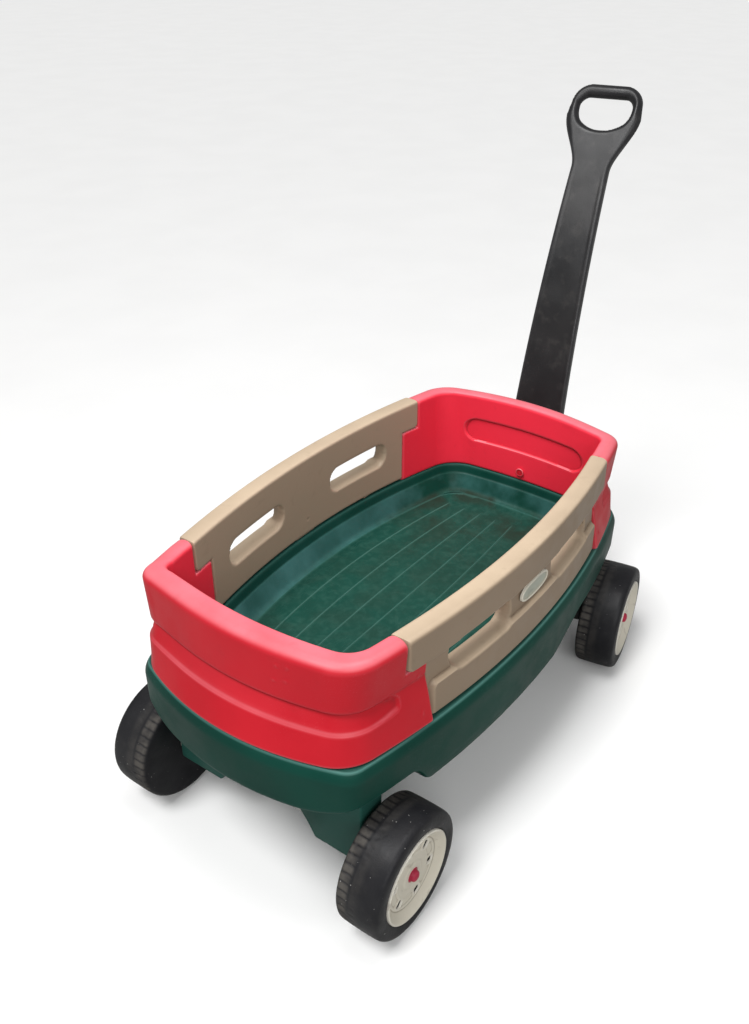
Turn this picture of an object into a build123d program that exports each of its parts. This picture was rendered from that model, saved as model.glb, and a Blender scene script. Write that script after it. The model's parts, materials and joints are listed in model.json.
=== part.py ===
from build123d import *
from math import cos, radians, sin
import os

os.makedirs("parts", exist_ok=True)

# Kids pull wagon. Millimetres. The origin is on the ground under the middle of the whole
# wagon's box, handle included. +X points to the handle end, +Y to the wagon's left and +Z up.
# Every piece is drawn about the middle of the bed and moved to that origin when it is saved.

# ---- driving dimensions ----
BED_MIDDLE_X = -168.91
WHEEL_RADIUS = 110
WHEEL_WIDTH = 78
WHEEL_OUTER_FACE = 284.5
WHEEL_INNER_FACE = WHEEL_OUTER_FACE - WHEEL_WIDTH
AXLE_HEIGHT = WHEEL_RADIUS
AXLE_RADIUS = 6
REAR_AXLE_X = -377
FRONT_AXLE_X = 371
STEER_ANGLE = 9.7

LEDGE_HEIGHT = 343.5
WALL_HEIGHT = 517
FLOOR_HEIGHT = 292
PANEL_SKIN = 3.5
TUB_SKIN = 4
RUNNING_CLEARANCE = 0.06

# Barrel outlines: half length, half width, bulge of the ends, bulge of the sides, corner radius.
WALL_TOP = (457, 259.5, 30, 46.5, 64)
WALL_BOTTOM = (489.5, 275, 47, 58, 83)
WALL_INNER_TOP = (422, 225, 24, 44.5, 38)
WALL_INNER_BOTTOM = (431.5, 231, 12, 51, 72)
RIM = (493, 276.5, 58, 60, 45)
BASIN = (432.5, 232, 12, 51, 72)

# Seams between the end panels and the lift-out side panels.
RAIL_END_X = 325
TONGUE_END_X = 282
NOTCH_HEIGHT = 457
SEAM = 1.5
SIDE_PANEL_BOTTOM = 349

# Outer faces of the panels: heights, and how far each is drawn in from the wall outline.
END_FACES = [(343.5, 3), (348, 0), (396, 6), (403, 9), (426, 16), (431, 12), (512, 0), (517, 5)]
SIDE_FACES = [(349, 7), (409, 5), (416, 12), (454, 11), (458, 4), (512, 0), (517, 5)]
RACETRACK_LENGTH = 274
RACETRACK_WIDTH = 62
RACETRACK_HEIGHT = 433
RACETRACK_DEPTH = 4
BADGE_HEIGHT = 435
BADGE_HALF_LENGTH = 45
BADGE_HALF_WIDTH = 17
BADGE_BACK_Y = 250
BADGE_THICKNESS = 10
BADGE_CLEARANCE = 0.2

# Hand slots in the side panels: distance from the centre line, length, width, corner radius
# and middle height of the inner and outer mouths. Then the tabs that hold every panel.
SLOT_X = 151
SLOT_INNER = (205, 166, 60, 25, 432)
SLOT_OUTER = (275, 158, 55, 22, 433)
TAB_SPACING = 205
TAB_LENGTH = 55
TAB_THICKNESS = 12
TAB_DEPTH = 22
TAB_CLEARANCE = 0.5
SIDE_TAB_Y = 243
TAB_BOW = 12
END_TAB_X = 441
END_TAB_LENGTH = 96
END_TAB_THICKNESS = 9
END_TAB_DEPTH = 18
LUG_X = 457
LUG_LENGTH = 50
LUG_THICKNESS = 14
LUG_HEIGHT = 41
PLUG_HEIGHT = 365
PLUG_RADIUS = 6
PLUG_HEAD_RADIUS = 9
PLUG_HEAD_X = 428.5
PLUG_HEAD_THICKNESS = 2.5
VENT_X = 100
VENT_RADIUS = 3

# Rear axle legs and the front steering gear, both under the tub.
LEG_LENGTH = 56
LEG_OUTER_Y = 200
ARCH_HEIGHT = 268
PILLAR_RADIUS = 14
BOSS_RADIUS = 60
BOSS_HEIGHT = 251
KINGPIN_RADIUS = 8
KINGPIN_TOP = 280
KINGPIN_SEAT = 133
WASHER_BOTTOM = KINGPIN_SEAT - 3
INSERT_RADIUS = 12.5
SLEEVE_RADIUS = 12
HEAD_POCKET_RADIUS = 15
HEAD_RADIUS = 13
HEAD_THICKNESS = 7
BEAM_HALF_LENGTH = 200
BEAM_WIDTH = 50
BEAM_BOTTOM = 90
BEAM_DEPTH = 46
HUB_RADIUS = 40
FLANGE_TOP = 248
FLANGE_THICKNESS = 12
EAR_RADIUS = 21
FORK_LENGTH = 150
SLEEVE_FLANGE_RADIUS = 38

# Pull handle, a flat bar bowed forwards, hinged on a cross pin ahead of the kingpin.
PIVOT_X = 140
PIVOT_Z = 185
PIN_RADIUS = 6
PIN_HEAD_RADIUS = 11
PIN_HEAD_THICKNESS = 4
HANDLE_SLEEVE_RADIUS = 9
HANDLE_LENGTH = 919
HANDLE_LEAN = 19.2
HANDLE_BOW = 60
HANDLE_THICKNESS = 25
HANDLE_SKIN = 4
HANDLE_FOOT_WIDTH = 108
HANDLE_NECK_WIDTH = 79
FOOT_TOP = 250
NECK_TOP = 768
GRIP_WIDTH = 156
GRIP_START = 868
GRIP_TOP = 935
GRIP_HOLE_Y = 56
GRIP_HOLE_BOTTOM = 844
GRIP_HOLE_TOP = 909
EAR_THICKNESS = 12
EAR_GAP = 1.5

# Wheel parts.
TREAD_CORNER = 15
HUB_BORE = 15
DISC_RADIUS = 80.5
CAP_RADIUS = 12.5

# Longer than anything it cuts or crosses.
ACROSS = 400
FAR_X = 520
FAR_Z = 530


def blend(low, high, share):
    """Outline part of the way from one barrel to another."""
    return tuple(a + (b - a) * share for a, b in zip(low, high))


def inset(shape, distance):
    """Barrel drawn in by a distance all round."""
    length, width, end_bulge, side_bulge, corner = shape
    return (length - distance, width - distance, end_bulge, side_bulge, max(corner - distance, 8))


def wall_outside(height, distance):
    """Outer outline of the side walls at a height, drawn in by a distance."""
    share = (height - LEDGE_HEIGHT) / (WALL_HEIGHT - LEDGE_HEIGHT)
    return inset(blend(WALL_BOTTOM, WALL_TOP, share), distance)


def wall_inside(height, distance):
    """Inner outline of the side walls at a height, drawn in by a distance."""
    share = (height - LEDGE_HEIGHT) / (WALL_HEIGHT - LEDGE_HEIGHT)
    return inset(blend(WALL_INNER_BOTTOM, WALL_INNER_TOP, share), distance)


def outer_levels(faces, depth=0):
    """Heights and outlines of a panel's outer faces, drawn in by a further depth."""
    return [(height, wall_outside(height, distance + depth)) for height, distance in faces]


def barrel(shape):
    """Flat face with four bowed sides and rounded corners."""
    length, width, end_bulge, side_bulge, corner = shape
    x, y = length, width
    for _ in range(40):
        y = width - side_bulge * (x / (length - corner)) ** 2
        x = length - end_bulge * (y / (width - corner)) ** 2
    with BuildSketch(Plane.XY) as profile:
        with BuildLine():
            ThreePointArc((-x, y), (0, width), (x, y))
            ThreePointArc((x, y), (length, 0), (x, -y))
            ThreePointArc((x, -y), (0, -width), (-x, -y))
            ThreePointArc((-x, -y), (-length, 0), (-x, y))
        make_face()
        fillet(profile.vertices(), corner)
    return profile.sketch


def barrel_block(levels):
    """Solid through barrels given as height and outline."""
    with BuildPart() as block:
        for height, shape in levels:
            with BuildSketch(Plane.XY.offset(height)):
                add(barrel(shape))
        loft(ruled=True)
    return block.part


def slab(points, low=-ACROSS, high=ACROSS):
    """A side view outline carried across the wagon from one y to another."""
    with BuildPart() as block:
        with BuildSketch(Plane.XZ.offset(-low)):
            with BuildLine():
                Polyline(points, close=True)
            make_face()
        extrude(amount=low - high)
    return block.part


def hand_slots(side, grow=0):
    """Flared hand slots through one side panel, wider on the inside."""
    with BuildPart() as slots:
        for centre in (-SLOT_X, SLOT_X):
            for y, length, width, corner, height in (SLOT_INNER, SLOT_OUTER):
                with BuildSketch(Plane.XZ.offset(-side * y)):
                    with Locations((centre, height)):
                        RectangleRounded(length + 2 * grow, width + 2 * grow, corner)
            loft()
    return slots.part


def side_tabs(side, grow=0):
    """Flat pattern of the three tabs of one side panel, which follow the bowed wall."""
    with BuildSketch(Plane.XY) as tabs:
        for x, bow in ((-TAB_SPACING, TAB_BOW), (0, 0), (TAB_SPACING, TAB_BOW)):
            with Locations((x, side * (SIDE_TAB_Y - bow))):
                Rectangle(TAB_LENGTH + 2 * grow, TAB_THICKNESS + 2 * grow)
    return tabs.sketch


def placed(place, plane):
    """The plane carried along by a location."""
    return Plane(place * plane.location)


def save(piece, label):
    """Move a finished piece to the wagon's origin, name it and write its file."""
    piece.part.move(Location((BED_MIDDLE_X, 0, 0)))
    piece.part.label = label
    export_step(piece.part, f"parts/{label}.step")


# ---- tub ----
TUB_LEVELS = [
    (216, inset(RIM, 34)),
    (224, inset(RIM, 20)),
    (238, inset(RIM, 8)),
    (256, inset(RIM, 2)),
    (330, RIM),
    (338, inset(RIM, 2.5)),
    (LEDGE_HEIGHT, inset(RIM, 8)),
]
BASIN_LEVELS = [
    (FLOOR_HEIGHT, inset(BASIN, 26)),
    (325, inset(BASIN, 8)),
    (LEDGE_HEIGHT + 1, BASIN),
]
UNDERSIDE = [
    (-FAR_X, 248),
    (-460, 248),
    (-442, ARCH_HEIGHT),
    (-320, ARCH_HEIGHT),
    (-290, 228),
    (-200, 224),
    (20, 221),
    (80, 234),
    (130, 252),
    (190, ARCH_HEIGHT),
    (FAR_X, ARCH_HEIGHT - 8),
    (FAR_X, 200),
    (-FAR_X, 200),
]
tub_hollow_bottom = ARCH_HEIGHT + TUB_SKIN
basin_skin = barrel_block(
    [
        (FLOOR_HEIGHT - TUB_SKIN, inset(BASIN, 26 - TUB_SKIN)),
        (325, inset(BASIN, 8 - TUB_SKIN)),
        (LEDGE_HEIGHT, inset(BASIN, -TUB_SKIN)),
    ]
)
# Deeper middle of the moulding, between the wheel arches.
BELLY = [
    (-276, 280),
    (-276, 243),
    (-200, 239),
    (20, 236),
    (85, 246),
    (130, 258),
    (180, 274),
    (180, 280),
]
with BuildPart() as tub_belly:
    add(
        barrel_block(
            [
                (236, inset(RIM, 22)),
                (262, inset(RIM, 6)),
                (tub_hollow_bottom, inset(RIM, 5.5)),
            ]
        )
    )
    add(slab(BELLY), mode=Mode.INTERSECT)

with BuildPart() as tub_hollow:
    add(barrel_block([(tub_hollow_bottom, inset(RIM, 5.5)), (339, inset(RIM, 6.5))]))
    add(basin_skin, mode=Mode.SUBTRACT)
    with BuildSketch(Plane.XY.offset(tub_hollow_bottom)):
        add(barrel(inset(BASIN, 30)))
    extrude(amount=FLOOR_HEIGHT - TUB_SKIN - tub_hollow_bottom)
    add(tub_belly.part)
    # Hollow upper part of the two rear legs.
    with BuildSketch(Plane.XY.offset(140)):
        with Locations((REAR_AXLE_X, 148), (REAR_AXLE_X, -148)):
            Rectangle(LEG_LENGTH - 12, 88)
    extrude(amount=tub_hollow_bottom - 140)
    # Pillars that tie the floor to the underside, and the block around the kingpin.
    with BuildSketch(Plane.XY.offset(240)):
        with GridLocations(200, 140, 3, 3):
            Circle(PILLAR_RADIUS)
        with Locations((FRONT_AXLE_X, 0)):
            Circle(32)
    extrude(amount=FLOOR_HEIGHT - 240, mode=Mode.SUBTRACT)

with BuildPart() as tub:
    add(barrel_block(TUB_LEVELS))
    add(slab(UNDERSIDE), mode=Mode.SUBTRACT)
    with BuildSketch(Plane.YZ.offset(REAR_AXLE_X - LEG_LENGTH / 2)) as leg_profile:
        with BuildLine():
            Polyline(
                (LEG_OUTER_Y, 99.5),
                (104, 99.5),
                (88, 127),
                (60, 165),
                (30, 250),
                (30, ARCH_HEIGHT + 2),
                (LEG_OUTER_Y, ARCH_HEIGHT + 2),
                close=True,
            )
        make_face()
        mirror(about=Plane.YZ)
    extrude(amount=LEG_LENGTH)
    with BuildSketch(Plane.XY.offset(BOSS_HEIGHT)):
        with Locations((FRONT_AXLE_X, 0)):
            Circle(BOSS_RADIUS)
    extrude(amount=ARCH_HEIGHT + 2 - BOSS_HEIGHT)
    add(barrel_block(BASIN_LEVELS), mode=Mode.SUBTRACT)
    add(tub_hollow.part, mode=Mode.SUBTRACT)
    # Lugs that stand inside the end panels and take the locking plugs.
    with BuildSketch(Plane.XY.offset(LEDGE_HEIGHT - TUB_SKIN)):
        with Locations((LUG_X, 0), (-LUG_X, 0)):
            Rectangle(LUG_THICKNESS, LUG_LENGTH)
    extrude(amount=LUG_HEIGHT + TUB_SKIN)
    with BuildSketch(Plane.YZ.offset(-LUG_X - LUG_THICKNESS)):
        with Locations((0, PLUG_HEIGHT)):
            Circle(PLUG_RADIUS)
    extrude(amount=2 * (LUG_X + LUG_THICKNESS), mode=Mode.SUBTRACT)
    # Sockets in the ledge for the panels' tabs.
    with BuildSketch(Plane.XY.offset(LEDGE_HEIGHT - TAB_DEPTH)):
        for side in (-1, 1):
            add(side_tabs(side, TAB_CLEARANCE))
        with Locations((END_TAB_X, 0), (-END_TAB_X, 0)):
            Rectangle(END_TAB_THICKNESS + 2 * TAB_CLEARANCE, END_TAB_LENGTH + 2 * TAB_CLEARANCE)
    extrude(amount=TAB_DEPTH + 1, mode=Mode.SUBTRACT)
    # Rear axle bore and the blind hole for the kingpin's insert.
    with BuildSketch(Plane.XZ):
        with Locations((REAR_AXLE_X, AXLE_HEIGHT)):
            Circle(AXLE_RADIUS)
    extrude(amount=ACROSS, both=True, mode=Mode.SUBTRACT)
    with BuildSketch(Plane.XY.offset(BOSS_HEIGHT)):
        with Locations((FRONT_AXLE_X, 0)):
            Circle(INSERT_RADIUS)
    extrude(amount=KINGPIN_TOP + 2 - BOSS_HEIGHT, mode=Mode.SUBTRACT)
save(tub, "tub")


# ---- end panels ----
def end_panel(facing, label):
    """U-shaped hollow end wall with side tongues that pass under the side rails."""
    upper_x = facing * (RAIL_END_X + SEAM)
    lower_x = facing * (TONGUE_END_X + SEAM)
    far_x = facing * FAR_X
    notch = NOTCH_HEIGHT - SEAM
    skin = PANEL_SKIN
    outline, hollow_outline = [
        [
            (upper_x + facing * wall, FAR_Z),
            (upper_x + facing * wall, notch - wall),
            (lower_x + facing * wall, notch - wall),
            (lower_x + facing * wall, TUB_LEVELS[4][0]),
            (far_x, TUB_LEVELS[4][0]),
            (far_x, FAR_Z),
        ]
        for wall in (0, skin)
    ]
    with BuildPart() as hollow:
        add(
            barrel_block(
                [
                    (LEDGE_HEIGHT + skin, wall_outside(LEDGE_HEIGHT + skin, skin + 1)),
                    *outer_levels([END_FACES[2], END_FACES[4]], skin),
                    (WALL_HEIGHT - skin, wall_outside(WALL_HEIGHT - skin, skin + 1)),
                ]
            )
        )
        add(
            barrel_block(
                [
                    (LEDGE_HEIGHT, wall_inside(LEDGE_HEIGHT, -skin)),
                    (WALL_HEIGHT, wall_inside(WALL_HEIGHT, -skin)),
                ]
            ),
            mode=Mode.SUBTRACT,
        )
        add(slab(hollow_outline), mode=Mode.INTERSECT)
        # Solid web behind the racetrack recess is left out of the hollow.
        with BuildSketch(Plane.YZ):
            with Locations((0, RACETRACK_HEIGHT)):
                SlotOverall(RACETRACK_LENGTH + 2 * skin, RACETRACK_WIDTH + 2 * skin)
        extrude(amount=facing * (WALL_INNER_BOTTOM[0] + skin + 1), mode=Mode.SUBTRACT)
    with BuildPart() as racetrack:
        with BuildSketch(Plane.YZ):
            with Locations((0, RACETRACK_HEIGHT)):
                SlotOverall(RACETRACK_LENGTH, RACETRACK_WIDTH)
        extrude(amount=facing * FAR_X)
        add(
            barrel_block(
                [(height, wall_inside(height, -RACETRACK_DEPTH)) for height in (380, 490)]
            ),
            mode=Mode.INTERSECT,
        )
    with BuildPart() as panel:
        add(barrel_block(outer_levels(END_FACES)))
        add(
            barrel_block(
                [
                    (LEDGE_HEIGHT - 1, wall_inside(LEDGE_HEIGHT, 0)),
                    (WALL_HEIGHT - 5, wall_inside(WALL_HEIGHT - 5, 0)),
                    (WALL_HEIGHT + 1, wall_inside(WALL_HEIGHT, -5)),
                ]
            ),
            mode=Mode.SUBTRACT,
        )
        add(slab(outline), mode=Mode.INTERSECT)
        add(hollow.part, mode=Mode.SUBTRACT)
        add(racetrack.part, mode=Mode.SUBTRACT)
        # Tab into the ledge, opening for the tub's lug, and the plug's hole.
        with BuildSketch(Plane.XY.offset(LEDGE_HEIGHT - END_TAB_DEPTH)):
            with Locations((facing * END_TAB_X, 0)):
                Rectangle(END_TAB_THICKNESS, END_TAB_LENGTH)
        extrude(amount=END_TAB_DEPTH + skin)
        with BuildSketch(Plane.XY.offset(LEDGE_HEIGHT - 1)):
            with Locations((facing * LUG_X, 0)):
                Rectangle(LUG_THICKNESS + 2, LUG_LENGTH + 2)
        extrude(amount=LUG_HEIGHT + 1, mode=Mode.SUBTRACT)
        with BuildSketch(Plane.YZ):
            with Locations((0, PLUG_HEIGHT)):
                Circle(PLUG_RADIUS)
        extrude(amount=facing * LUG_X, mode=Mode.SUBTRACT)
    save(panel, label)


end_panel(1, "front_end_panel")
end_panel(-1, "rear_end_panel")

# Locking plugs: a round head inside the bed and a shank through the panel into the lug.
with BuildPart() as plugs:
    for facing in (-1, 1):
        with BuildSketch(Plane.YZ.offset(facing * PLUG_HEAD_X)):
            with Locations((0, PLUG_HEIGHT)):
                Circle(PLUG_HEAD_RADIUS)
        extrude(amount=-facing * PLUG_HEAD_THICKNESS)
        with BuildSketch(Plane.YZ.offset(facing * PLUG_HEAD_X)):
            with Locations((0, PLUG_HEIGHT)):
                Circle(PLUG_RADIUS)
        extrude(amount=facing * (LUG_X + LUG_THICKNESS / 2 - PLUG_HEAD_X))
save(plugs, "end_panel_plugs")


# ---- side panels ----
def side_panel(side, label):
    """Lift-out side wall with two hand slots, a thick rail and tabs along its foot."""
    skin = PANEL_SKIN
    low, high = sorted((side * 100, side * ACROSS))
    outline, hollow_outline = [
        [
            (-RAIL_END_X + wall, FAR_Z),
            (-RAIL_END_X + wall, NOTCH_HEIGHT + wall),
            (-TONGUE_END_X + wall, NOTCH_HEIGHT + wall),
            (-TONGUE_END_X + wall, SIDE_PANEL_BOTTOM - TAB_DEPTH),
            (TONGUE_END_X - wall, SIDE_PANEL_BOTTOM - TAB_DEPTH),
            (TONGUE_END_X - wall, NOTCH_HEIGHT + wall),
            (RAIL_END_X - wall, NOTCH_HEIGHT + wall),
            (RAIL_END_X - wall, FAR_Z),
        ]
        for wall in (0, skin)
    ]
    with BuildPart() as hollow:
        levels = outer_levels(SIDE_FACES[:-1], skin)
        levels[0] = (SIDE_PANEL_BOTTOM + skin, levels[0][1])
        add(barrel_block(levels))
        add(
            barrel_block(
                [
                    (LEDGE_HEIGHT, wall_inside(LEDGE_HEIGHT, -skin)),
                    (WALL_HEIGHT, wall_inside(WALL_HEIGHT, -skin)),
                ]
            ),
            mode=Mode.SUBTRACT,
        )
        add(slab(hollow_outline, low, high), mode=Mode.INTERSECT)
        add(hand_slots(side, skin), mode=Mode.SUBTRACT)
    with BuildPart() as panel:
        add(barrel_block(outer_levels(SIDE_FACES)))
        add(
            barrel_block(
                [
                    (LEDGE_HEIGHT, wall_inside(LEDGE_HEIGHT, 0)),
                    (WALL_HEIGHT - 4, wall_inside(WALL_HEIGHT - 4, 0)),
                    (WALL_HEIGHT + 1, wall_inside(WALL_HEIGHT, -4)),
                ]
            ),
            mode=Mode.SUBTRACT,
        )
        add(slab(outline, low, high), mode=Mode.INTERSECT)
        add(hollow.part, mode=Mode.SUBTRACT)
        add(hand_slots(side), mode=Mode.SUBTRACT)
        # Pocket for the oval badge.
        with BuildSketch(Plane.XZ.offset(-side * BADGE_BACK_Y)):
            with Locations((0, BADGE_HEIGHT)):
                Ellipse(BADGE_HALF_LENGTH, BADGE_HALF_WIDTH)
        extrude(amount=-side * 3 * BADGE_THICKNESS, mode=Mode.SUBTRACT)
        with BuildSketch(Plane.XY.offset(LEDGE_HEIGHT - TAB_DEPTH + 3)):
            add(side_tabs(side))
        extrude(amount=SIDE_PANEL_BOTTOM + skin - LEDGE_HEIGHT + TAB_DEPTH - 3)
        # Vent hole into the hollow, clear of the tabs.
        with BuildSketch(Plane.XY.offset(SIDE_PANEL_BOTTOM - 1)):
            with Locations((VENT_X, side * SIDE_TAB_Y)):
                Circle(VENT_RADIUS)
        extrude(amount=skin + 3, mode=Mode.SUBTRACT)
    save(panel, label)


def badge(side, label):
    """Blank oval plate in the outer face between the hand slots."""
    with BuildPart() as plate:
        with BuildSketch(Plane.XZ.offset(-side * BADGE_BACK_Y)):
            with Locations((0, BADGE_HEIGHT)):
                Ellipse(BADGE_HALF_LENGTH - BADGE_CLEARANCE, BADGE_HALF_WIDTH - BADGE_CLEARANCE)
        extrude(amount=-side * BADGE_THICKNESS)
        outer_rim = plate.faces().sort_by(Axis.Y)[-1 if side > 0 else 0].edges()
        fillet(outer_rim, 2)
    save(plate, label)


side_panel(1, "left_side_panel")
side_panel(-1, "right_side_panel")
badge(1, "left_badge")
badge(-1, "right_badge")

# ---- kingpin, fixed in the tub ----
with BuildPart() as kingpin_insert:
    with BuildSketch(Plane.XY.offset(BOSS_HEIGHT)):
        with Locations((FRONT_AXLE_X, 0)):
            Circle(INSERT_RADIUS)
            Circle(KINGPIN_RADIUS, mode=Mode.SUBTRACT)
    extrude(amount=KINGPIN_TOP - BOSS_HEIGHT)
save(kingpin_insert, "kingpin_insert")

with BuildPart() as kingpin:
    with BuildSketch(Plane.XY.offset(WASHER_BOTTOM - HEAD_THICKNESS)):
        with Locations((FRONT_AXLE_X, 0)):
            RegularPolygon(HEAD_RADIUS, 6)
    extrude(amount=HEAD_THICKNESS)
    with BuildSketch(Plane.XY.offset(WASHER_BOTTOM)):
        with Locations((FRONT_AXLE_X, 0)):
            Circle(KINGPIN_RADIUS)
    extrude(amount=KINGPIN_TOP - WASHER_BOTTOM)
    chamfer(kingpin.faces().sort_by(Axis.Z)[-1].edges(), 1)
save(kingpin, "kingpin")

with BuildPart() as kingpin_washer:
    with BuildSketch(Plane.XY.offset(WASHER_BOTTOM)):
        with Locations((FRONT_AXLE_X, 0)):
            Circle(HEAD_POCKET_RADIUS - 0.5)
            Circle(KINGPIN_RADIUS, mode=Mode.SUBTRACT)
    extrude(amount=2.5)
save(kingpin_washer, "kingpin_washer")

# ---- steering bolster, turned by the steering angle about the kingpin ----
STEERED = Location((FRONT_AXLE_X, 0, 0), (0, 0, STEER_ANGLE))
STRAIGHT = Location((REAR_AXLE_X, 0, 0))
STEERED_SIDE = placed(STEERED, Plane.XZ)
foot = HANDLE_FOOT_WIDTH / 2
ear_inner = foot + EAR_GAP
ear_outer = ear_inner + EAR_THICKNESS

with BuildPart() as bolster:
    # Cross beam that carries the front axle.
    with BuildSketch(placed(STEERED, Plane.XY.offset(BEAM_BOTTOM))):
        RectangleRounded(BEAM_WIDTH, 2 * BEAM_HALF_LENGTH, 12)
    extrude(amount=BEAM_DEPTH)
    # Hub up to the turntable flange under the tub.
    with BuildSketch(placed(STEERED, Plane.XY.offset(BEAM_BOTTOM))):
        Circle(HUB_RADIUS)
    extrude(amount=FLANGE_TOP - BEAM_BOTTOM)
    with BuildSketch(placed(STEERED, Plane.XY.offset(FLANGE_TOP - FLANGE_THICKNESS))):
        Circle(BOSS_RADIUS)
    extrude(amount=FLANGE_THICKNESS)
    # Tongue that reaches forward to the handle's pivot.
    with BuildSketch(STEERED_SIDE):
        with BuildLine():
            Polyline(
                (0, 120),
                (0, 215),
                (60, 215),
                (PIVOT_X, PIVOT_Z + EAR_RADIUS),
                (PIVOT_X, PIVOT_Z - EAR_RADIUS),
                (60, 120),
                close=True,
            )
        make_face()
        with Locations((PIVOT_X, PIVOT_Z)):
            Circle(EAR_RADIUS)
    extrude(amount=ear_outer, both=True)
    with BuildSketch(placed(STEERED, Plane.XY.offset(BEAM_BOTTOM))):
        with Locations((PIVOT_X + FORK_LENGTH / 2 - 45, 0)):
            Rectangle(FORK_LENGTH, 2 * ear_inner)
    extrude(amount=FORK_LENGTH, mode=Mode.SUBTRACT)
    # Pockets that lighten the beam and the tongue from below.
    with BuildSketch(placed(STEERED, Plane.XY.offset(BEAM_BOTTOM))):
        with Locations((0, 82), (0, 156), (0, -82), (0, -156)):
            Rectangle(38, 64)
    extrude(amount=BEAM_DEPTH - 6, mode=Mode.SUBTRACT)
    with BuildSketch(placed(STEERED, Plane.XY.offset(BEAM_BOTTOM))):
        with Locations((67, 33), (67, -33)):
            Rectangle(44, 56)
    extrude(amount=116, mode=Mode.SUBTRACT)
    # Bores: kingpin sleeve, pocket for the kingpin's head, front axle and handle pin.
    with BuildSketch(placed(STEERED, Plane.XY.offset(BEAM_BOTTOM))):
        Circle(SLEEVE_RADIUS)
    extrude(amount=FLANGE_TOP - BEAM_BOTTOM, mode=Mode.SUBTRACT)
    with BuildSketch(placed(STEERED, Plane.XY.offset(BEAM_BOTTOM))):
        Circle(HEAD_POCKET_RADIUS)
    extrude(amount=KINGPIN_SEAT - BEAM_BOTTOM, mode=Mode.SUBTRACT)
    with BuildSketch(STEERED_SIDE):
        with Locations((0, AXLE_HEIGHT)):
            Circle(AXLE_RADIUS)
        with Locations((PIVOT_X, PIVOT_Z)):
            Circle(PIN_RADIUS)
    extrude(amount=ACROSS, both=True, mode=Mode.SUBTRACT)
save(bolster, "bolster")

with BuildPart() as kingpin_sleeve:
    with BuildSketch(placed(STEERED, Plane.XY.offset(KINGPIN_SEAT))):
        Circle(SLEEVE_RADIUS)
    extrude(amount=FLANGE_TOP - KINGPIN_SEAT)
    with BuildSketch(placed(STEERED, Plane.XY.offset(FLANGE_TOP))):
        Circle(SLEEVE_FLANGE_RADIUS)
    extrude(amount=2.5)
    with BuildSketch(placed(STEERED, Plane.XY.offset(KINGPIN_SEAT))):
        Circle(KINGPIN_RADIUS + RUNNING_CLEARANCE)
    extrude(amount=ACROSS, mode=Mode.SUBTRACT)
save(kingpin_sleeve, "kingpin_sleeve")

with BuildPart() as pivot_pin:
    with BuildSketch(STEERED_SIDE.offset(-ear_outer - PIN_HEAD_THICKNESS)):
        with Locations((PIVOT_X, PIVOT_Z)):
            Circle(PIN_RADIUS)
    extrude(amount=2 * ear_outer + 3 * PIN_HEAD_THICKNESS)
    with BuildSketch(STEERED_SIDE.offset(-ear_outer - PIN_HEAD_THICKNESS)):
        with Locations((PIVOT_X, PIVOT_Z)):
            Circle(PIN_HEAD_RADIUS)
    extrude(amount=PIN_HEAD_THICKNESS)
    chamfer(pivot_pin.faces().sort_by(Axis.Y)[-1].edges(), 1)
save(pivot_pin, "pivot_pin")

with BuildPart() as pivot_pin_cap:
    with BuildSketch(STEERED_SIDE.offset(ear_outer)):
        with Locations((PIVOT_X, PIVOT_Z)):
            Circle(PIN_HEAD_RADIUS)
            Circle(PIN_RADIUS, mode=Mode.SUBTRACT)
    extrude(amount=PIN_HEAD_THICKNESS)
save(pivot_pin_cap, "pivot_pin_cap")

# ---- pull handle ----
lean = radians(HANDLE_LEAN)
chord = Vector(sin(lean), 0, cos(lean))
back = Vector(-cos(lean), 0, sin(lean))
pivot = Vector(PIVOT_X, 0, PIVOT_Z)
middle = pivot + chord * (HANDLE_LENGTH / 2) + back * HANDLE_BOW
tip = pivot + chord * HANDLE_LENGTH
GRIP_FACE = Plane(origin=pivot, x_dir=(0, 1, 0), z_dir=(cos(lean), 0, -sin(lean)))

with BuildPart() as handle_hollow:
    with BuildSketch(STEERED_SIDE):
        with BuildLine():
            ThreePointArc((pivot.X, pivot.Z), (middle.X, middle.Z), (tip.X, tip.Z))
            offset(amount=HANDLE_THICKNESS / 2 - HANDLE_SKIN, side=Side.BOTH)
        make_face()
    extrude(amount=GRIP_WIDTH, both=True)
    with BuildSketch(placed(STEERED, GRIP_FACE)):
        with BuildLine():
            foot_y = foot - HANDLE_SKIN
            neck_y = HANDLE_NECK_WIDTH / 2 - HANDLE_SKIN
            Polyline(
                (-foot_y, 24),
                (foot_y, 24),
                (foot_y, FOOT_TOP),
                (neck_y, NECK_TOP),
                (neck_y, 815),
                (-neck_y, 815),
                (-neck_y, NECK_TOP),
                (-foot_y, FOOT_TOP),
                close=True,
            )
        make_face()
    extrude(amount=150, both=True, mode=Mode.INTERSECT)
    # Vent down to the pivot's bore.
    with BuildSketch(placed(STEERED, GRIP_FACE)):
        with Locations((30, 20)):
            Rectangle(5, 20)
    extrude(amount=3, both=True)

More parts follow.
